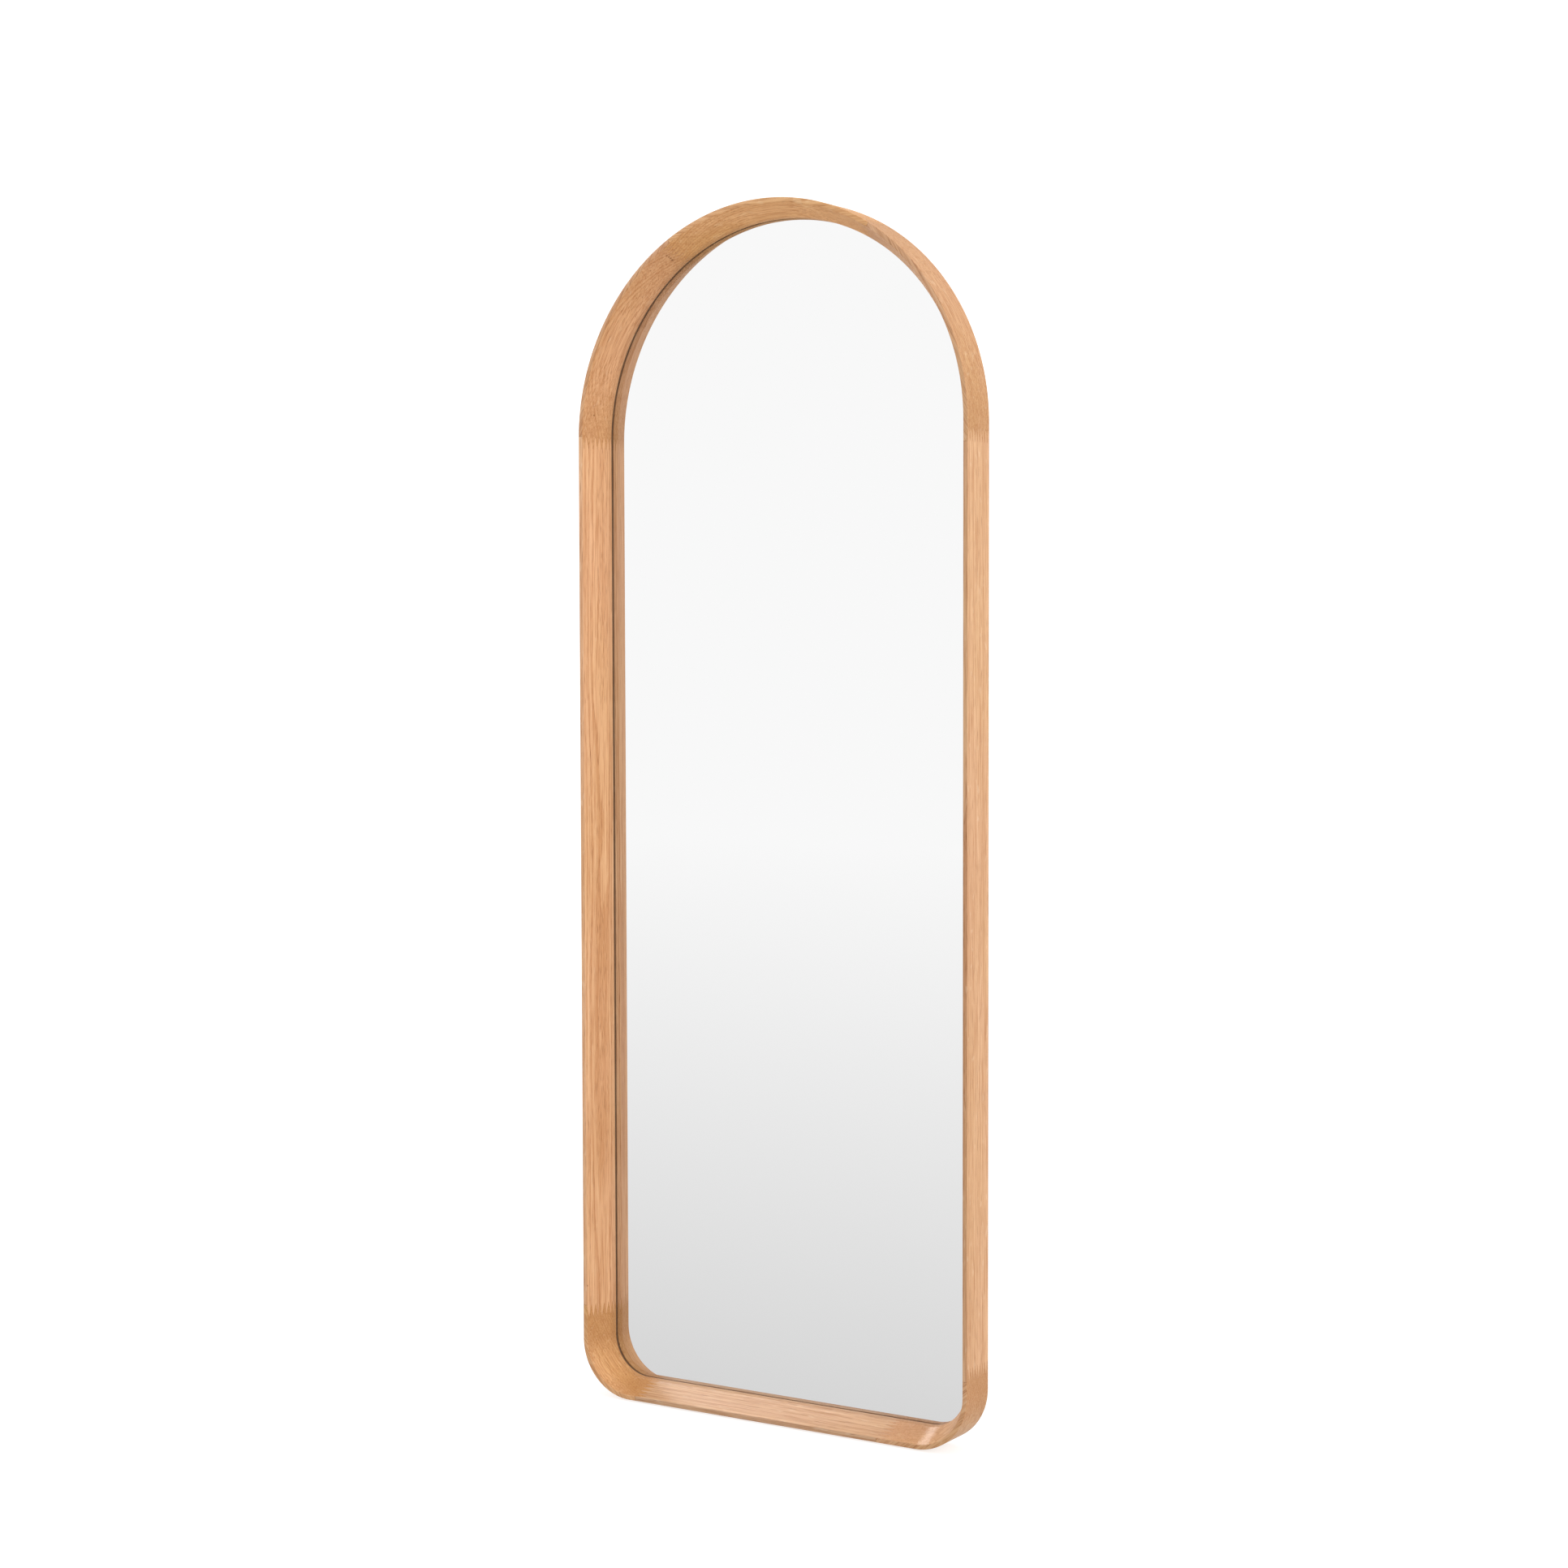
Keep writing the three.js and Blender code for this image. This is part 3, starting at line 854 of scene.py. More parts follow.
@dataclass(frozen=True)
class Outline:
    """The frame's outer line: a level foot, two round corners, two stiles and a half-round arch."""

    half_width: float
    height: float
    corner: float = 76 * MM

    @property
    def foot(self) -> float:
        """Half of the straight foot."""
        return self.half_width - self.corner

    @property
    def spring(self) -> float:
        """The height where the stiles meet the arch."""
        return self.height - self.half_width

    @property
    def stile_start(self) -> float:
        """The length at the top of the right-hand corner."""
        return self.foot + self.corner * np.pi / 2

    @property
    def arch_start(self) -> float:
        """The length at the right-hand springing."""
        return self.stile_start + self.spring - self.corner

    @property
    def half(self) -> float:
        """The length from the middle of the foot to the top of the arch."""
        return self.arch_start + self.half_width * np.pi / 2

    def right(self, height: float) -> float:
        """Returns the length at a height on the right stile."""
        return self.stile_start + height - self.corner

    def left(self, height: float) -> float:
        """Returns the length at a height on the left stile."""
        return 2 * self.half - self.right(height)

    def arch(self, degrees: float) -> float:
        """Returns the length at an angle on the arch, from its right-hand springing."""
        return self.arch_start + math.radians(degrees) * self.half_width

    def at(self, length: Array) -> tuple[Array, Array, Array]:
        """Finds points of the line.

        The right half is foot, quarter circle, stile and quarter circle of the arch, each placed by the
        length past its own start, and the left half is the same with x turned round.

        Args:
            length: Lengths along the line. They may run past its end or below 0.

        Returns:
            x, z from the foot, and the angle of the outward normal from +X towards +Z.
        """
        length = np.mod(length, 2 * self.half)
        mirrored = length > self.half
        near = np.where(mirrored, 2 * self.half - length, length)
        bend = (near - self.foot) / self.corner - np.pi / 2
        arch = (near - self.arch_start) / self.half_width
        stretch = [near < self.foot, near < self.stile_start, near < self.arch_start]
        turn = np.select(stretch, [np.full_like(near, -np.pi / 2), bend, np.zeros_like(near)], arch)
        x = np.select(stretch, [near, self.foot + self.corner * np.cos(bend),
                                np.full_like(near, self.half_width)], self.half_width * np.cos(arch))
        z = np.select(stretch, [np.zeros_like(near), self.corner * (1 + np.sin(bend)),
                                self.corner + near - self.stile_start],
                      self.spring + self.half_width * np.sin(arch))
        return np.where(mirrored, -x, x), z, np.where(mirrored, np.pi - turn, turn)

    def ring(self, inset: float) -> tuple[Array, Array]:
        """Gives the whole line as a closed ring, moved inwards.

        Args:
            inset: How far inwards.

        Returns:
            The ring's points in x and z, and their outward unit normals.
        """
        corner = np.linspace(self.foot, self.stile_start, 25)
        arch = np.linspace(self.arch_start, self.half, 91)
        right = np.concatenate([corner, arch])
        length = np.concatenate([right, (2 * self.half - right)[-2::-1]])
        x, z, turn = self.at(length)
        normal = np.stack(on_circle(turn), axis=-1)
        return np.stack([x, z], axis=-1) - inset * normal, normal


@dataclass(frozen=True)
class Section:
    """The oak's cross-section, as its outer and inner side at each depth behind the front.

    The inner side slopes from the front edge down to a straight lip, and the rebate behind the lip
    holds the glass and the board.
    """

    depth: float
    front_edge: float = 6.2 * MM
    slope_depth: float = 36.6 * MM
    lip_inset: float = 21.5 * MM
    lip_back: float = 47.4 * MM
    rebate_inset: float = 15 * MM
    ease: float = 1.1 * MM
    lip_ease: float = 0.5 * MM
    break_blend: float = 1.1 * MM
    fingers: int = 9
    finger_length: float = 16.5 * MM
    finger_tip: float = 0.35 * MM
    blunt: float = 1.12
    bend_reach: float = 3 * MM
    rebate_step: float = 0.2 * MM
    finest: float = 0.04 * MM

    def depths(self) -> Array:
        """Chooses the depths that hold a point: more of them at round edges and finger tips.

        Returns:
            The depths, from the front to the back.
        """
        turn = quarter_turn(6)
        front = self.ease * (1 - np.cos(turn))
        tips = np.arange(2 * self.fingers + 1)[:, None] * self.depth / (2 * self.fingers)
        tips = (tips + np.array([-1, 0, 1]) * self.finger_tip).ravel()
        bend = self.slope_depth + self.bend_reach * np.linspace(-1, 1, 7)
        lip = self.lip_back - self.lip_ease * (1 - np.sin(turn))
        back = self.depth - front
        fixed = [self.lip_back + self.rebate_step]
        every = np.unique(np.concatenate([front, tips, bend, lip, back, fixed]).round(7))
        every = every[(every >= 0) & (every <= self.depth)]
        return every[np.concatenate([[True], np.diff(every) > self.finest])]

    def outer(self, depth: Array) -> Array:
        """Returns the outer side's inset: 0, with both arrises rounded."""
        return rounded(depth, self.ease) + rounded(self.depth - depth, self.ease)

    def inner(self, depth: Array) -> Array:
        """Finds the inner side's inset.

        It is the smaller of the slope and the lip, blended where they meet. The front arris is a circle
        that touches the front plane and the slope, and the lip ends in a small round before the rebate.

        Args:
            depth: Depths behind the front.

        Returns:
            The inset at each depth.
        """
        steep = (self.lip_inset - self.front_edge) / self.slope_depth
        slope = self.front_edge + steep * depth
        blend = np.maximum(self.break_blend - abs(slope - self.lip_inset), 0)
        inset = np.minimum(slope, self.lip_inset) - blend**2 / (4 * self.break_blend)
        hypotenuse = math.hypot(1, steep)
        centre = self.front_edge + steep * self.ease - self.ease * hypotenuse
        touch = self.ease * (1 - steep / hypotenuse)
        round_front = centre + np.sqrt(np.maximum(self.ease**2 - (self.ease - depth) ** 2, 0))
        inset = np.where(depth < touch, round_front, inset)
        inset = inset - rounded(self.lip_back - np.minimum(depth, self.lip_back), self.lip_ease)
        rebate = self.rebate_inset - rounded(self.depth - depth, self.lip_ease)
        return np.where(depth > self.lip_back + self.rebate_step / 2, rebate, inset)

    def near_front(self, depth: Array) -> Array:
        """Returns 1 on the front edge and 0 past its rounded arrises."""
        return 1 - ease_curve(depth / self.ease)

    def wave(self, depth: Array) -> Array:
        """Finds how far the finger joints run to and fro along the frame.

        It is a triangle wave in depth, steepened a little and cut off, so that the tips are blunt.

        Args:
            depth: Depths behind the front.

        Returns:
            The run along the frame, from minus to plus half a finger's length.
        """
        phase = depth * self.fingers / self.depth
        triangle = 4 * abs(phase - np.floor(phase + 0.5)) - 1
        return self.finger_length / 2 * np.clip(self.blunt * triangle, -1, 1)


# ---- Oak ----

@dataclass
class OakFrame:
    """Eight pieces of oak, glued end to end with finger joints that run through their thickness."""

    outline: Outline
    section: Section
    front: float
    level: float
    glue_gap: float = 0.05 * MM
    reach: float = 20 * MM
    joint_rows: tuple[float, ...] = (0, 0.4, 1, 2, 4, 7, 10, 13, 16, 20)

    def sticks(self) -> list[OakStick]:
        """Says where each piece starts and ends and how it was cut.

        Returns:
            The pieces, in order round the frame.
        """
        line = self.outline
        curved, straight = 4 * MM, 12 * MM
        rail_left, rail_right = -205 * MM, 175 * MM
        right_low, right_high = line.right(105 * MM), line.right(1292 * MM)
        crown_right, crown_left = line.arch(60), line.arch(122)
        left_high, left_low = line.left(1306 * MM), line.left(114 * MM)
        arch_knots = ((124.0, 12.5, 1.8), (124.0, 16, 1.8), (124.1, 19.5, 2.0), (124.3, 23.5, 2.7),
                      (173.3, 16, 1.7))
        arch_knots = tuple((line.arch(angle), depth * MM, radius * MM) for angle, depth, radius in arch_knots)
        stile_knot = (line.left(149.2 * MM), 1 * MM, 1.3 * MM)
        return [
            OakStick("bottom_rail", rail_left, rail_right, straight, (-0.012, 0.16), 11.3,
                     2.8 * MM, 0.006, 0.15, tone=(0.88, 0.96, 1.06), gloss=0.2),
            OakStick("bottom_right_corner", rail_right, right_low, curved, (0.2, 0.1), 23.9,
                     3.6 * MM, 0.03, 0.5, tone=(0.97, 1.0, 1.0), gloss=0.26),
            # Right stile: its paler tone is partly the wood's own and partly painted light on its lit side
            # wall; its darker front edge is painted shade.
            OakStick("right_stile", right_low, right_high, straight, (0.16, 0.03), 37.1,
                     3.4 * MM, 0.003, 0.25, 4 * MM, (1.03, 1.12, 1.24), (0.72, 0.70, 0.68)),
            OakStick("arch_right", right_high, crown_right, curved, (-0.24, 0.08), 41.7,
                     3.3 * MM, 0.02, 0.5, tone=(0.93, 0.97, 1.0), edge=(0.85, 0.88, 0.94)),
            # Crown: its lighter tone is painted light, lifting a piece that faces down and gets little light
            # from below.
            OakStick("arch_crown", crown_right, crown_left, curved, (-0.5, 0.15), 53.2,
                     3.1 * MM, -0.015, 0.6, tone=(1.1, 1.12, 1.0)),
            OakStick("arch_left", crown_left, left_high, curved, (-0.22, 0.12), 67.8,
                     3.2 * MM, 0.02, 0.5, knots=arch_knots),
            OakStick("left_stile", left_high, left_low, straight, (-0.020, 0.064), 71.4,
                     2.8 * MM, 0.008, 0.3, 8 * MM, (1.10, 1.13, 1.18), (0.86, 0.90, 0.96),
                     knots=(stile_knot,)),
            OakStick("bottom_left_corner", left_low, 2 * line.half + rail_left, curved,
                     (0.09, 0.07), 83.6, 3.4 * MM, -0.03, 0.8, tone=(1.08, 1.1, 1.04)),
        ]

    def stations(self, stick: OakStick) -> Array:
        """Gives the lengths where a stick's rows of points stand, closer together near its joints.

        Args:
            stick: The piece.

        Returns:
            The lengths along the frame, from a glue gap past one joint to a glue gap before the next.
        """
        start, end = stick.start + self.glue_gap, stick.end - self.glue_gap
        near = np.array(self.joint_rows) * MM
        middle = np.linspace(start + near[-1], end - near[-1],
                             max(2, round((end - start - 2 * near[-1]) / stick.step)))
        return np.concatenate([start + near[:-1], middle, (end - near[:-1])[::-1]])

    def place(self, length: Array, depth: Array, inset: Array) -> Array:
        """Finds points of the frame: the outline's point at a length, moved in along its normal and back.

        Args:
            length: Lengths along the frame.
            depth: Depths behind the front.
            inset: Distances inwards from the outline.

        Returns:
            The points, with x, y and z on the last axis.
        """
        x, z, turn = self.outline.at(length)
        points = [x - inset * np.cos(turn), self.front + depth, z - inset * np.sin(turn) + self.level]
        return np.stack(np.broadcast_arrays(*points), axis=-1)

    def shell(self, stick: OakStick) -> Shell:
        """Works out one stick's surface.

        Column j runs round the section, up the outer side and back down the inner one. Row i stands at
        station i, moved along the frame by the finger wave of its depth, times a share that falls
        smoothly from 1 at each end of the stick to 0 at a finger's reach from it.

        Args:
            stick: The piece.

        Returns:
            Its closed surface. Its points are marked with their distance from a joint, whether they
            lie on the front edge and how steeply the fibre runs out of the surface.
        """
        depth = self.section.depths()
        wave = self.section.wave(depth)
        base = self.stations(stick)
        from_start = (base - base[0])[:, None]
        from_end = (base[-1] - base)[:, None]
        share = 2 - ease_curve(from_start / self.reach) - ease_curve(from_end / self.reach)
        length = base[:, None] + wave[None, :] * share
        outer = self.place(length, depth[None, :], self.section.outer(depth)[None, :])
        inner = self.place(length, depth[None, :], self.section.inner(depth)[None, :])
        loop = np.concatenate([outer, inner[:, ::-1]], axis=1)
        shell = Shell()
        numbers = shell.add(loop)
        shell.weave(numbers, close_columns=True)
        count = len(depth)
        for row in (0, -1):
            shell.weave(np.stack([numbers[row, :count], numbers[row, :count - 1:-1]]))
        _, _, turn = self.outline.at(length)
        side = np.minimum(depth, self.section.depth - depth) / self.section.ease
        marks = {"joint": np.minimum(from_start, from_end) + np.zeros_like(length),
                 # The front mark holds where the oak's painted shade on the front edge falls.
                 "front": np.broadcast_to(self.section.near_front(depth), length.shape),
                 "run_out": abs(np.cos(turn - self.lay(stick))) * np.clip(side, 0, 1)}
        shell.marks = {name: np.concatenate([mark, mark[:, ::-1]], axis=1)
                       for name, mark in marks.items()}
        return shell

    def lay(self, stick: OakStick) -> float:
        """Returns the angle of a stick's fibre from +X towards +Z, along the chord between its joints."""
        x, z, _ = self.outline.at(np.array([stick.start, stick.end]))
        return math.atan2(z[1] - z[0], x[1] - x[0])

    def finish(self, stick: OakStick) -> bpy.types.Material:
        """Makes one stick's oak, its pattern centred between its joints and its knots on its inner side.

        Args:
            stick: The piece.

        Returns:
            The material.
        """
        x, z, _ = self.outline.at(np.array([stick.start, stick.end]))
        middle = (float(x.mean()), self.front + self.section.depth / 2, float(z.mean()) + self.level)
        knots = []
        for length, depth, radius in stick.knots:
            at = self.place(np.array(length), np.array(depth), self.section.inner(np.array(depth)))
            knots.append(Knot(tuple(at.tolist()), radius))
        return OakFinish(stick, self.lay(stick), middle, tuple(knots)).make()

    def build(self) -> None:
        """Makes the eight pieces."""
        for stick in self.sticks():
            made = self.shell(stick).piece(f"{stick.name}_oak", [self.finish(stick)])
            settle(made, "frame", stick.name)


def settle(made: bpy.types.Object, body: str, node: str) -> None:
    """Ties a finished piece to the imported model.

    Args:
        made: The piece.
        body: The body that it moves with.
        node: The CAD node that it stands for.
    """
    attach(made, body)
    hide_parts(node)
    LOG.info("%s: %d faces, on %s", made.name, len(made.data.polygons), body)


# ---- Glass and back ----

@dataclass
class Pane:
    """The mirror glass, its film and the board behind it, all on the frame's own outline.

    The silver is on the glass's back, and the glass makes it look less deep than it is. The bright face
    stands at that depth, inside a shallow rim that the oak lip covers. The rim's wall is painted shade:
    its dark brown stands for the lip's shadow seen through the glass.
    """

    outline: Outline
    level: float
    silver_share: float = 0.6
    silver_inset: float = 20.9 * MM
    glass_ease: float = 0.4 * MM
    film_ease: float = 0.08 * MM
    board_ease: float = 0.7 * MM

    def plate(self, node: str, ease: float) -> tuple[float, float, Array]:
        """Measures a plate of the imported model.

        Args:
            node: The plate's CAD node.
            ease: The radius of its arrises.

        Returns:
            Its inset from the outline, the y of its front and its edge profile.
        """
        low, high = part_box(node)
        inset = self.outline.half_width - high.x
        return inset, low.y, eased_plate(high.y - low.y, ease)

    def add(self, node: str, name: str, slot: str, ease: float, finish: MattFinish) -> None:
        """Makes a flat sheet that stands for a CAD node.

        Args:
            node: The CAD node.
            name: The new piece's name.
            slot: Not used.
            ease: The radius of its arrises.
            finish: Its finish.
        """
        inset, front, profile = self.plate(node, ease)
        shell = slab(self.outline.ring(inset), profile, Place((0, front, self.level)))
        settle(shell.piece(name, [finish.make()]), "frame", node)

    def build(self) -> None:
        """Makes the glass, the film and the board."""
        inset, front, profile = self.plate("mirror_pane", self.glass_ease)
        reveal = self.silver_inset - inset
        silver = self.silver_share * profile[-1, 1]
        profile = np.concatenate([profile[::-1], [[reveal, 0], [reveal, silver]]])
        shell = slab(self.outline.ring(inset), profile, Place((0, front, self.level)), (1, 1, 0))
        # The second material is the painted back and edge, and the painted shade on the rim's wall.
        made = shell.piece("mirror_pane_glass", [SilverFinish().make(), BACK_PAINT_AND_REVEAL_SHADE.make()])
        settle(made, "frame", "mirror_pane")
        self.add("safety_film", "safety_film_sheet", "safety_film", self.film_ease, FILM)
        self.add("back_panel", "back_panel_board", "fibreboard", self.board_ease, FIBREBOARD)


# ---- Hardware ----

@dataclass
class Screw:
    """A pan-head wood screw with a cross recess, a plain seat and a thread that thins to its tip."""

    head_radius: float = 2.8 * MM
    head_height: float = 1.8 * MM
    core: float = 1.05 * MM
    thread: float = 0.33 * MM
    pitch: float = 1.3 * MM
    tip: float = 2.5 * MM
    recess_arm: float = 1.55 * MM
    recess_width: float = 0.42 * MM
    recess_depth: float = 0.9 * MM
    recess_wall: float = 0.3 * MM
    dome: float = 0.16
    rim_drop: float = 0.22
    rim_start: float = 0.72
    seat: float = 2.4 * MM
    round_count: int = 80
    shank_rows: int = 78

    def head_rows(self) -> tuple[Array, Array]:
        """Works out the head's top, from its rim to its middle.

        The dome falls from the middle by a sixth of its height at the rim, with a round rim, and the
        recess is cut by two crossed bars whose walls rise smoothly.

        Returns:
            Radii and heights above the head's underside, by row and angle.
        """
        turn = full_turn(self.round_count)
        ring = np.concatenate([np.linspace(0.98, 0.7, 5), np.linspace(0.66, 0.0, 17)])
        radius = ring[:, None] * self.head_radius + np.zeros_like(turn)
        share = ring[:, None] + np.zeros_like(turn)
        rim = ease_curve((share - self.rim_start) / (1 - self.rim_start))
        height = self.head_height * (1 - self.dome * share**2 - self.rim_drop * rim**2)
        x, y = on_circle(turn, radius)
        cuts = [(1 - ease_curve((abs(a) - self.recess_width) / self.recess_wall))
                * (1 - ease_curve((abs(b) - self.recess_arm) / self.recess_wall))
                for a, b in ((x, y), (y, x))]
        return radius, height - self.recess_depth * np.maximum(*cuts)

    def shell(self, low: float, high: float, x: float, z: float) -> Shell:
        """Works out the whole screw.

        The shank's radius is its core plus a ridge that winds once round for each pitch, and both
        shrink in a straight line to nothing over the tip.

        Args:
            low: The y of its tip.
            high: The y of its head's top.
            x: Its axis's x.
            z: Its axis's z.

        Returns:
            The closed surface.
        """
        turn = full_turn(self.round_count)
        length = high - low - self.head_height
        along = np.linspace(0, length, self.shank_rows)[:, None] + np.zeros_like(turn)
        phase = along / self.pitch - turn / (2 * np.pi)
        ridge = (1 - 2 * abs(phase - np.floor(phase) - 0.5)) ** 2
        plain = ease_curve((length - self.seat - along) / MM)
        taper = np.clip(along / self.tip, 0, 1)
        shank = (self.core + self.thread * ridge * plain) * taper
        under = np.array([0.80, 0.95, 1.0])[:, None] * self.head_radius + np.zeros_like(turn)
        lift = np.array([0.0, 0.06, 0.30])[:, None] * self.head_height + np.zeros_like(turn)
        top_radius, top = self.head_rows()
        radius = np.concatenate([shank, under, top_radius])
        height = np.concatenate([along, length + lift, length + top])
        return lathe(radius, height, Place((x, low, z)))


@dataclass
class TurnButton:
    """A flat pear-shaped plate that turns on its screw and holds the board in."""

    heel: float = 4.5 * MM
    nose: float = 3.4 * MM
    reach: float = 14 * MM
    hole: float = 1.7 * MM
    ease: float = 0.3 * MM
    hole_ease: float = 0.18 * MM
    count: int = 96

    def outline(self) -> tuple[Array, Array]:
        """Works out the plate's edge: two circles and the straight lines that touch both.

        A point with outward normal n lies at its circle's centre plus radius times n, and the nose's
        circle has the normals within the angle whose cosine is (heel - nose) / centre distance.

        Returns:
            The points and their outward unit normals.
        """
        split = math.acos((self.heel - self.nose) / self.reach)
        turn = np.concatenate([np.linspace(-split, split, self.count // 2),
                               np.linspace(split, 2 * np.pi - split, self.count // 2)])
        at_nose = np.arange(len(turn)) < self.count // 2
        normal = np.stack(on_circle(turn), axis=-1)
        radius = np.where(at_nose, self.nose, self.heel)[:, None]
        centre = np.where(at_nose, self.reach, 0.0)[:, None] * np.array([1.0, 0.0])
        return centre + radius * normal, normal

    def shell(self, thickness: float, place: Place) -> Shell:
        """Works out the plate with its hole.

        Columns run up the outer edge, over the top, down the hole and back underneath. The hole's
        points stand at the same share of its circle as the edge's do of the outline.

        Args:
            thickness: The plate's thickness.
            place: Its axes, with the first towards its nose.

        Returns:
            The closed surface.
        """
        points, normals = self.outline()
        angle = np.arctan2(points[:, 1], points[:, 0])
        bore = np.stack(on_circle(angle), axis=-1)
        edge = eased_plate(thickness, self.ease)
        wall = eased_plate(thickness, self.hole_ease)[::-1]
        outer = points[:, None] - normals[:, None] * edge[None, :, :1]
        inner = bore[:, None] * (self.hole + wall[None, :, :1])
        flat = np.concatenate([outer, inner], axis=1)
        height = np.concatenate([edge[:, 1], wall[:, 1]])[None, :, None] + np.zeros((len(points), 1, 1))
        shell = Shell()
        numbers = shell.add(place.put(np.concatenate([flat, height], axis=-1)))
        shell.weave(numbers, close_rows=True, close_columns=True)
        return shell


@dataclass
class Fixings:
    """The turn buttons that hold the board in, and the screws of the buttons and the hangers."""

    button: TurnButton
    screw: Screw

    @staticmethod
    def names(prefix: str) -> list[str]:
        """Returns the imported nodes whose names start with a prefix."""
        return sorted(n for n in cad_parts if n.startswith(prefix))

    def add_button(self, node: str, finish: bpy.types.Material) -> None:
        """Makes one turn button.

        Args:
            node: Its CAD node, which is also its body.
            finish: Its material.
        """
        low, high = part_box(node)
        pin_low, pin_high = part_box(node.replace("turn_button", "button_screw"))
        pivot = (pin_low + pin_high) / 2
        lean = (low + high) / 2 - pivot
        size = math.hypot(lean.x, lean.z)
        nose = (lean.x / size, 0.0, lean.z / size)
        side = (-nose[2], 0.0, nose[0])
        shell = self.button.shell(high.y - low.y, Place((pivot.x, low.y, pivot.z), nose, side))
        settle(shell.piece(f"{node}_plate", [finish]), node, node)

    def add_screw(self, node: str, finish: bpy.types.Material) -> None:
        """Makes one screw.

        Args:
            node: Its CAD node.
            finish: Its material.
        """
        low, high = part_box(node)
        middle = (low + high) / 2
        shell = self.screw.shell(low.y, high.y, middle.x, middle.z)
        settle(shell.piece(f"{node}_threaded", [finish]), "frame", node)

    def build(self, nickel: bpy.types.Material, zinc: bpy.types.Material) -> None:
        """Makes every button and every screw.

        Args:
            nickel: The buttons' material.
            zinc: The screws' material.
        """
        for node in self.names("turn_button_"):
            self.add_button(node, nickel)
        for node in self.names("button_screw_") + self.names("hanger_screw_"):
            self.add_screw(node, zinc)


@dataclass
class Hanger:
    """A strap rolled into a barrel at its top, and the D-shaped wire ring that swings in it."""

    thickness: float = 1.4 * MM
    barrel: float = 3.05 * MM
    curl_end: float = -115.0
    strap_gap: float = 0.3 * MM
    wire: float = 1.25 * MM
    half_width: float = 5.75 * MM
    side: float = 6 * MM
    bend: float = 1.6 * MM
    end_gap: float = 0.6 * MM
    strap_edge: float = 0.28 * MM
    least_width: float = 0.02 * MM

    def strap_line(self, length: float) -> tuple[Array, Array]:
        """Works out the middle line of the strap's thickness, from its lower end to the curl's end.

        It climbs straight and then runs round the barrel's centre at the middle of the strap's thickness.

        Args:
            length: How far the strap reaches below the barrel's centre.

        Returns:
            Points in distance behind the oak and height above the barrel's centre, and unit normals
            that point away from the barrel.
        """
        centre = self.strap_gap + self.barrel
        radius = self.barrel - self.thickness / 2
        near_end = np.array([0, 0.05, 0.15, 0.35, 0.7, 1.2, 1.8, 2.5, 3.2, 4.0]) * MM
        climb = np.concatenate([near_end, np.linspace(5 * MM, length - MM, 12)]) - length
        straight = np.stack([np.full_like(climb, centre - radius), climb], axis=-1)
        turn = np.radians(np.linspace(180, self.curl_end, 41))
        round_normal = np.stack(on_circle(turn), axis=-1)
        curl = np.array([centre, 0]) + radius * round_normal
        normals = np.concatenate([np.tile([-1.0, 0.0], (len(climb), 1)), round_normal])
        return np.concatenate([straight, curl]), normals

    def strap(self, node: str, back: float, finish: bpy.types.Material) -> float:
        """Makes the strap.

        Row i is a soft-cornered band section at point i of the strap's line. Its half width is full,
        but over the lower end it follows a circle, so the end is round.

        Args:
            node: Its CAD node.
            back: The y of the oak's back.
            finish: Its material.

        Returns:
            The height of the barrel's centre.
        """
        low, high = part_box(node)
        centre = high.z - self.barrel
        line, normal = self.strap_line(centre - low.z)
        half = (high.x - low.x) / 2
        short = np.clip(half - (line[:, 1] + centre - low.z), 0, half - self.least_width)
        width = np.sqrt(half**2 - short**2)
        band, _ = soft_box(2.0, self.thickness, self.strap_edge, 4)
        across = np.sign(band[:, 0]) * (width[:, None] - (1 - abs(band[:, 0])))
        lift = np.broadcast_to(band[:, 1], across.shape)
        points = np.stack([
            (low.x + high.x) / 2 + across,
            back + line[:, None, 0] + normal[:, None, 0] * lift,
            centre + line[:, None, 1] + normal[:, None, 1] * lift,
        ], axis=-1)
        settle(rod(points).piece(f"{node}_plate", [finish]), "frame", node)
        return centre

    def ring(self, node: str, back: float, height: float, x: float, finish: bpy.types.Material) -> None:
        """Makes the ring, a round wire carried along a D.

        The D's right half is the bar, a small bend, a straight side and a quarter of the bow, and its
        left half is the same turned round. The wire's section stands in the plane of the line's inward
        normal and the frame's depth.

        Args:
            node: Its CAD node, which is also its body.
            back: The y of the oak's back.
            height: The height of the barrel's centre.
            x: The x of the ring's middle.
            finish: Its material.
        """
        inner = self.half_width - self.bend
        bar = np.stack([np.linspace(self.end_gap / 2, inner, 8)[:-1], np.zeros(7)], -1)
        corner = np.radians(np.linspace(90, 0, 12))
        bend = np.stack([inner + self.bend * np.cos(corner), self.bend * (np.sin(corner) - 1)], -1)
        drop = np.linspace(-self.bend, -self.side, 6)[1:-1]
        side = np.stack([np.full_like(drop, self.half_width), drop], -1)
        bow = np.radians(np.linspace(0, -90, 24))
        round_bow = np.stack(on_circle(bow, self.half_width), -1) - [0, self.side]
        right = np.concatenate([bar, bend, side, round_bow])
        line = np.concatenate([right, (right * [-1, 1])[-2::-1]])
        tangent = np.gradient(line, axis=0)
        tangent /= np.linalg.norm(tangent, axis=1, keepdims=True)
        normal = np.stack([-tangent[:, 1], tangent[:, 0]], -1)
        aside, behind = on_circle(full_turn(20), self.wire)
        flat = line[:, None] + normal[:, None] * aside[None, :, None]
        centre = back + self.strap_gap + self.barrel
        depth = np.broadcast_to(centre + behind, flat.shape[:2])
        shell = rod(np.stack([x + flat[..., 0], depth, height + flat[..., 1]], -1))
        settle(shell.piece(f"{node}_wire", [finish]), node, node)

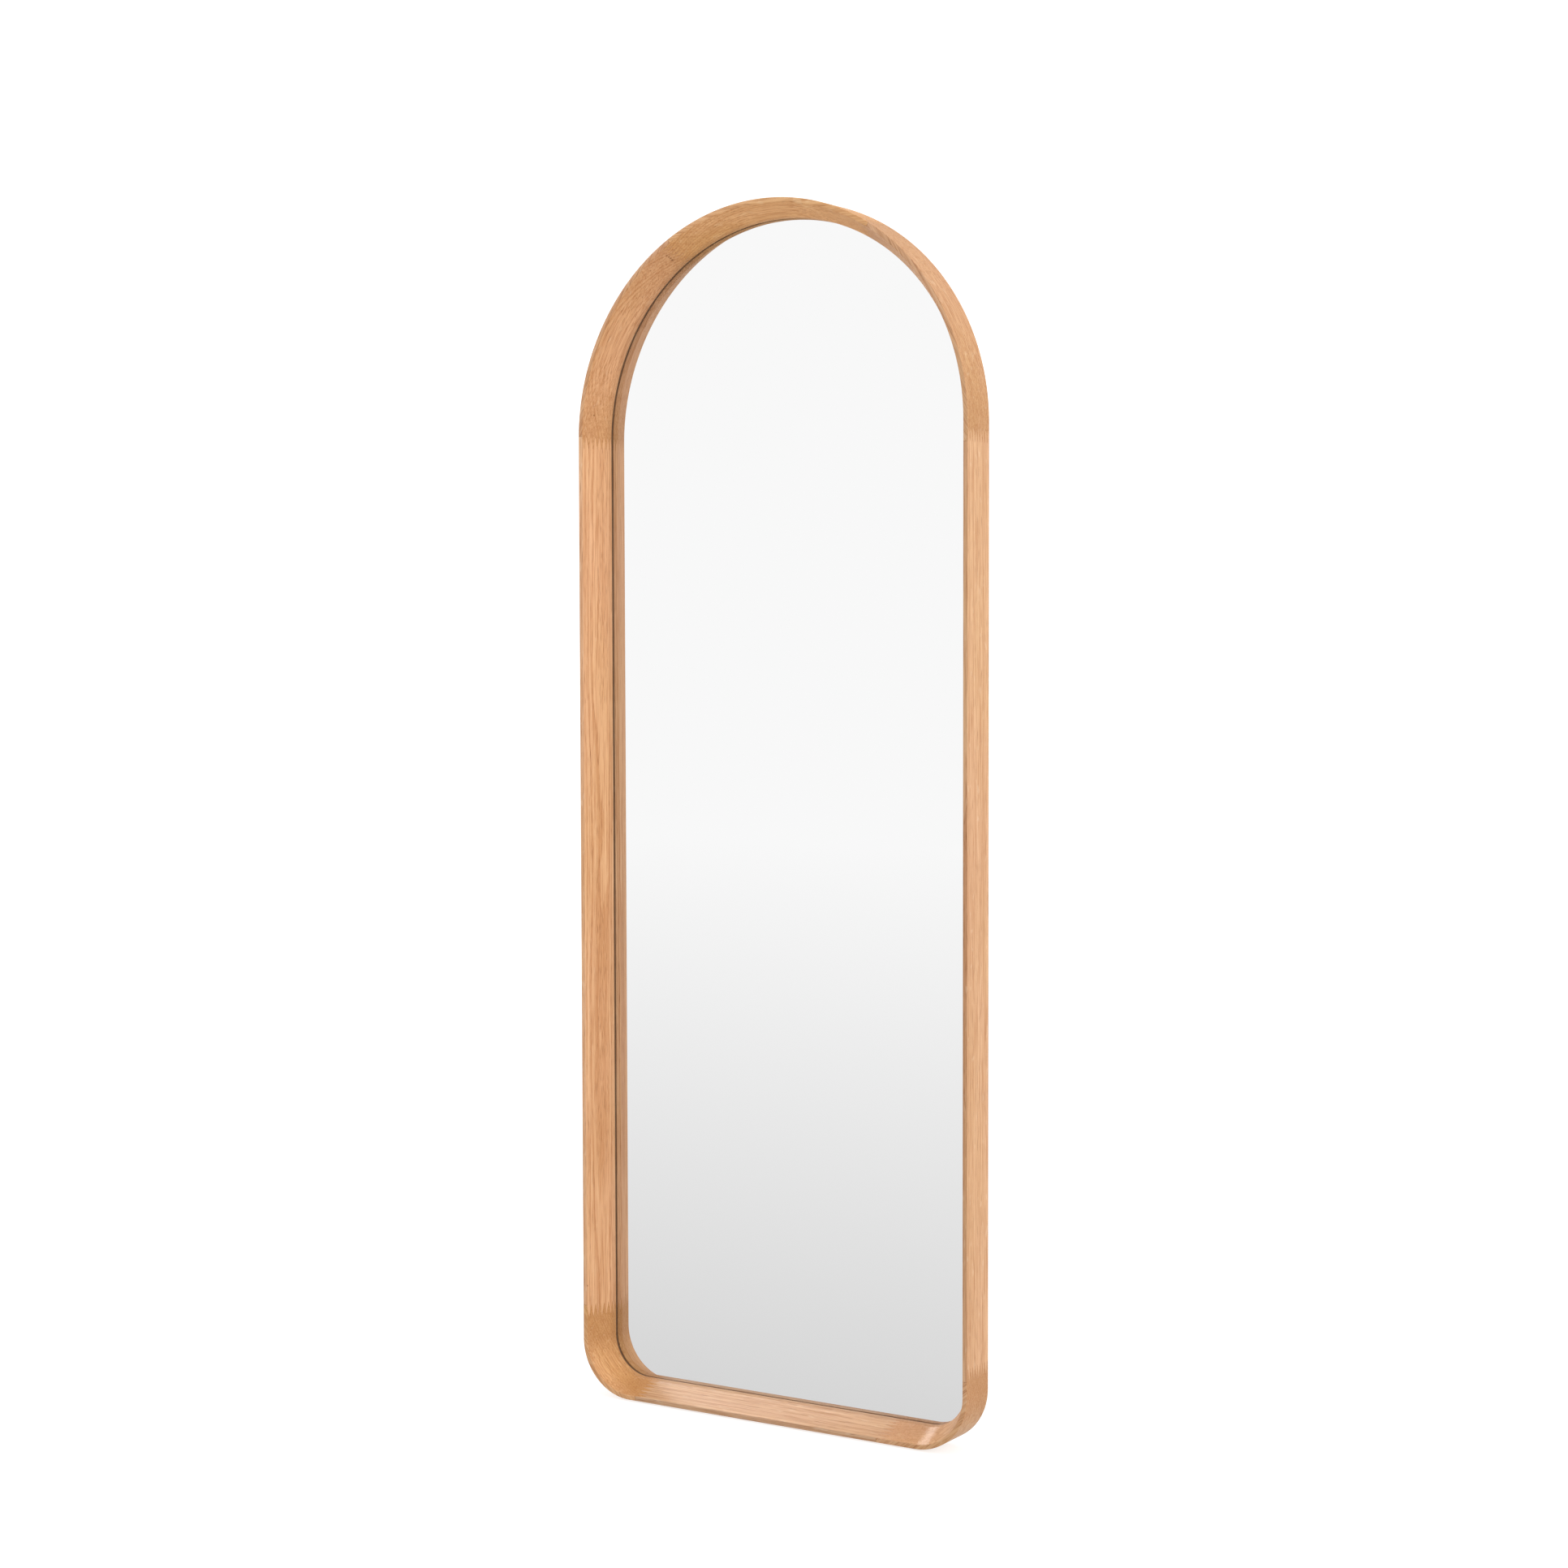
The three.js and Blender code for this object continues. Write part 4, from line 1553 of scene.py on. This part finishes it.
    def build(self, back: float, zinc: bpy.types.Material) -> None:
        """Makes the strap and ring of both sides.

        Args:
            back: The y of the oak's back.
            zinc: Their material.
        """
        for side in ("left", "right"):
            low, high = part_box(f"hanger_strap_{side}")
            centre = self.strap(f"hanger_strap_{side}", back, zinc)
            self.ring(f"hanger_ring_{side}", back, centre, (low.x + high.x) / 2, zinc)


@dataclass
class SoftParts:
    """Rubber bumpers on the back, rubber blocks under the glass and felt pads under the foot."""

    bumper_ease: float = 0.9 * MM
    bumper_taper: float = 0.35 * MM
    bumper_foot: float = 0.3 * MM
    bumper_sides: int = 40
    dimple: float = 2.0 * MM
    dimple_depth: float = 0.6 * MM
    pad_corner: float = 4 * MM
    pad_ease: float = 0.6 * MM
    block_corner: float = 0.35 * MM
    block_ease: float = 0.3 * MM
    crease: float = 40

    def bumper(self, node: str, finish: bpy.types.Material) -> None:
        """Makes a bumper: a turned button, a little narrower at its top, with a dimple in the middle.

        Args:
            node: Its CAD node.
            finish: Its material.
        """
        low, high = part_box(node)
        middle = (low + high) / 2
        radius, height = (high.x - low.x) / 2, high.y - low.y
        turn = quarter_turn(7)
        rim_radius = radius - self.bumper_taper - self.bumper_ease * (1 - np.cos(turn))
        rim_height = height - self.bumper_ease * (1 - np.sin(turn))
        cup = np.linspace(1, 0, 9)
        foot = [(0.0, 0.0), (radius - self.bumper_foot, 0.0), (radius, self.bumper_foot)]
        cup_height = height - self.dimple_depth * (1 - cup**2) ** 1.5
        profile = np.concatenate([foot, np.stack([rim_radius, rim_height], -1),
                                  np.stack([self.dimple * cup, cup_height], -1)])
        column = np.ones(self.bumper_sides)
        shell = lathe(profile[:, :1] * column, profile[:, 1:] * column, Place((middle.x, low.y, middle.z)))
        settle(shell.piece(f"{node}_rubber", [finish], self.crease), "frame", node)

    def block(self, node: str, finish: bpy.types.Material, corner: float, ease: float,
              name: str) -> None:
        """Makes a flat block with round corners, lying level in its CAD node's box.

        Args:
            node: Its CAD node.
            finish: Its material.
            corner: The radius of its corners, seen from above.
            ease: The radius of its arrises.
            name: The end of its name.
        """
        low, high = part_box(node)
        middle = (low + high) / 2
        outline = soft_box(high.x - low.x, high.y - low.y, corner)
        place = Place((middle.x, middle.y, low.z), (1, 0, 0), (0, 1, 0), (0, 0, 1))
        shell = slab(outline, eased_plate(high.z - low.z, ease), place)
        settle(shell.piece(f"{node}_{name}", [finish]), "frame", node)

    def build(self) -> None:
        """Makes every bumper, block and pad."""
        rubber, felt = RUBBER.make(), FELT.make()
        for node in Fixings.names("wall_bumper_"):
            self.bumper(node, rubber)
        for node in Fixings.names("setting_block_"):
            self.block(node, rubber, self.block_corner, self.block_ease, "rubber")
        for node in Fixings.names("floor_pad_"):
            self.block(node, felt, self.pad_corner, self.pad_ease, "felt")


# ---- Studio ----

@dataclass(frozen=True)
class SoftLight:
    """A square panel of even light that faces a point, and may light the gloss only."""

    name: str
    place: tuple[float, float, float]
    aim: tuple[float, float, float]
    size: float
    watts: float
    gloss_only: bool = False

    def build(self) -> None:
        """Makes the light."""
        data = bpy.data.lights.new(self.name, "AREA")
        data.shape = "SQUARE"
        data.size = self.size
        data.energy = self.watts
        panel = bpy.data.objects.new(self.name, data)
        place, aim = np.array(self.place), np.array(self.aim)
        back = (place - aim) / np.linalg.norm(place - aim)
        right = np.cross([0, 0, 1], back)
        right /= np.linalg.norm(right)
        turned = np.eye(4)
        turned[:3] = np.stack([right, np.cross(back, right), back, place], axis=1)
        panel.matrix_world = Matrix(turned.tolist())
        panel.visible_camera = False
        panel.visible_diffuse = not self.gloss_only
        bpy.context.scene.collection.objects.link(panel)


@dataclass
class Studio:
    """A white room: an even sky, a pale floor, soft panels and the camera.

    The floor that the camera sees is white up to the horizon. A second disc just under it only gives
    light and shows in the mirror and the gloss. It is grey near the mirror, painted shade of the floor
    there, and grows as bright as the sky ahead of it.
    """

    camera_place: tuple[float, float, float] = (1.95313, -3.09890, 1.02563)
    camera_yaw: float = -32.10001
    camera_pitch: float = -2.75151
    camera_roll: float = -0.12989
    lens: float = 63.79378
    sensor: float = 36.0
    sky: float = 1.27
    floor_radius: float = 40.0
    floor_near: float = 0.898
    floor_gain: float = 0.493
    floor_fade: float = 3.07
    floor_tones: tuple[float, float] = (0.34, 0.36)
    floor_glow: float = 2.1
    under_floor: float = -0.002
    lights: tuple[SoftLight, ...] = (
        SoftLight("panel_front_left", (-1.70, -1.32, 2.05), (0.1, 0.0, 0.0), 0.9, 64, gloss_only=True),
        SoftLight("panel_right", (3.6, -0.9, 2.6), (0.0, 0.0, 0.9), 1.6, 42),
    )

    def world(self) -> None:
        """Makes the even white sky and shows light as it is, without a film curve."""
        world = bpy.data.worlds.new("white_room")
        world.use_nodes = True
        world.node_tree.nodes["Background"].inputs["Color"].default_value = (1, 1, 1, 1)
        world.node_tree.nodes["Background"].inputs["Strength"].default_value = self.sky
        bpy.context.scene.world = world
        bpy.context.scene.view_settings.view_transform = "Standard"

    def disc(self, name: str, height: float, material: bpy.types.Material) -> bpy.types.Object:
        """Makes a level disc.

        Args:
            name: Its name.
            height: Its height.
            material: Its material.

        Returns:
            The disc.
        """
        ring = np.concatenate([[0], np.geomspace(0.5, self.floor_radius, 12)])
        x, y = on_circle(full_turn(64), ring[:, None])
        points = np.stack([x, y, np.full_like(x, height)], axis=-1)
        shell = Shell()
        shell.weave(shell.add(points), close_columns=True)
        made = shell.piece(name, [material])
        if made.data.polygons[0].normal.z < 0:
            made.data.flip_normals()
        return made

    def floor(self) -> None:
        """Makes the floor and the disc under it."""
        graph = Graph("white_floor")
        tone = graph.noise(graph.here(), (2, 2, 2), 4.0, 2)
        colour = graph.mix(tone, *((grey,) * 3 for grey in self.floor_tones))
        seen = self.disc("floor", 0.0, graph.shade(
            Base_Color=colour, Roughness=0.9, Specular_IOR_Level=0.0, Emission_Color=colour,
            Emission_Strength=self.floor_glow))
        seen.visible_diffuse = False
        seen.visible_glossy = False

        graph = Graph("floor_glow")
        _, y, _ = graph.split(graph.here())
        ahead = y.math("MAXIMUM", y * -1.0, 0.0)
        # Painted shade: the glow is dimmest near the mirror, where a floor lies in shade.
        glow = self.floor_near + self.floor_gain * (ahead / (ahead + self.floor_fade))
        glow = glow.math("MINIMUM", glow, self.sky)
        light = graph.node("ShaderNodeEmission", None, {"Strength": glow})
        graph.node("ShaderNodeOutputMaterial", None, {"Surface": light["Emission"]})
        under = self.disc("floor_glow", self.under_floor, graph.material)
        under.visible_camera = False
        under.visible_shadow = False

    def camera(self) -> None:
        """Makes the camera.

        Its line of sight has the yaw from +Y towards +X and the pitch above the horizon, and the
        picture is then turned about it by the roll.
        """
        yaw, pitch, roll = (math.radians(a) for a in (self.camera_yaw, self.camera_pitch, self.camera_roll))
        ahead = np.array([math.sin(yaw) * math.cos(pitch), math.cos(yaw) * math.cos(pitch), math.sin(pitch)])
        level = np.array([math.cos(yaw), -math.sin(yaw), 0])
        upright = np.cross(level, ahead)
        right = math.cos(roll) * level + math.sin(roll) * upright
        up = math.cos(roll) * upright - math.sin(roll) * level
        turned = np.eye(4)
        turned[:3] = np.stack([right, up, -ahead, np.array(self.camera_place)], axis=1)
        data = bpy.data.cameras.new("camera")
        data.lens = self.lens
        data.sensor_width = self.sensor
        camera = bpy.data.objects.new("camera", data)
        camera.matrix_world = Matrix(turned.tolist())
        bpy.context.scene.collection.objects.link(camera)
        bpy.context.scene.camera = camera

    def build(self) -> None:
        """Makes the whole studio."""
        self.world()
        self.floor()
        self.camera()
        for light in self.lights:
            light.build()


# ---- Assembly ----


def main() -> None:
    """Builds the studio and the mirror, from the oak to the pads."""
    logging.basicConfig(level=logging.INFO, format="%(name)s: %(message)s")
    low, high = CAD_BOX
    rail_low, rail_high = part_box("bottom_rail")
    outline = Outline((high.x - low.x) / 2, high.z - rail_low.z)
    section = Section(rail_high.y - rail_low.y)
    Studio().build()
    OakFrame(outline, section, rail_low.y, rail_low.z).build()
    Pane(outline, rail_low.z).build()
    zinc, nickel = ZINC.make(), NICKEL.make()
    Fixings(TurnButton(), Screw()).build(nickel, zinc)
    Hanger().build(rail_high.y, zinc)
    SoftParts().build()


if __name__ == "__main__":
    main()
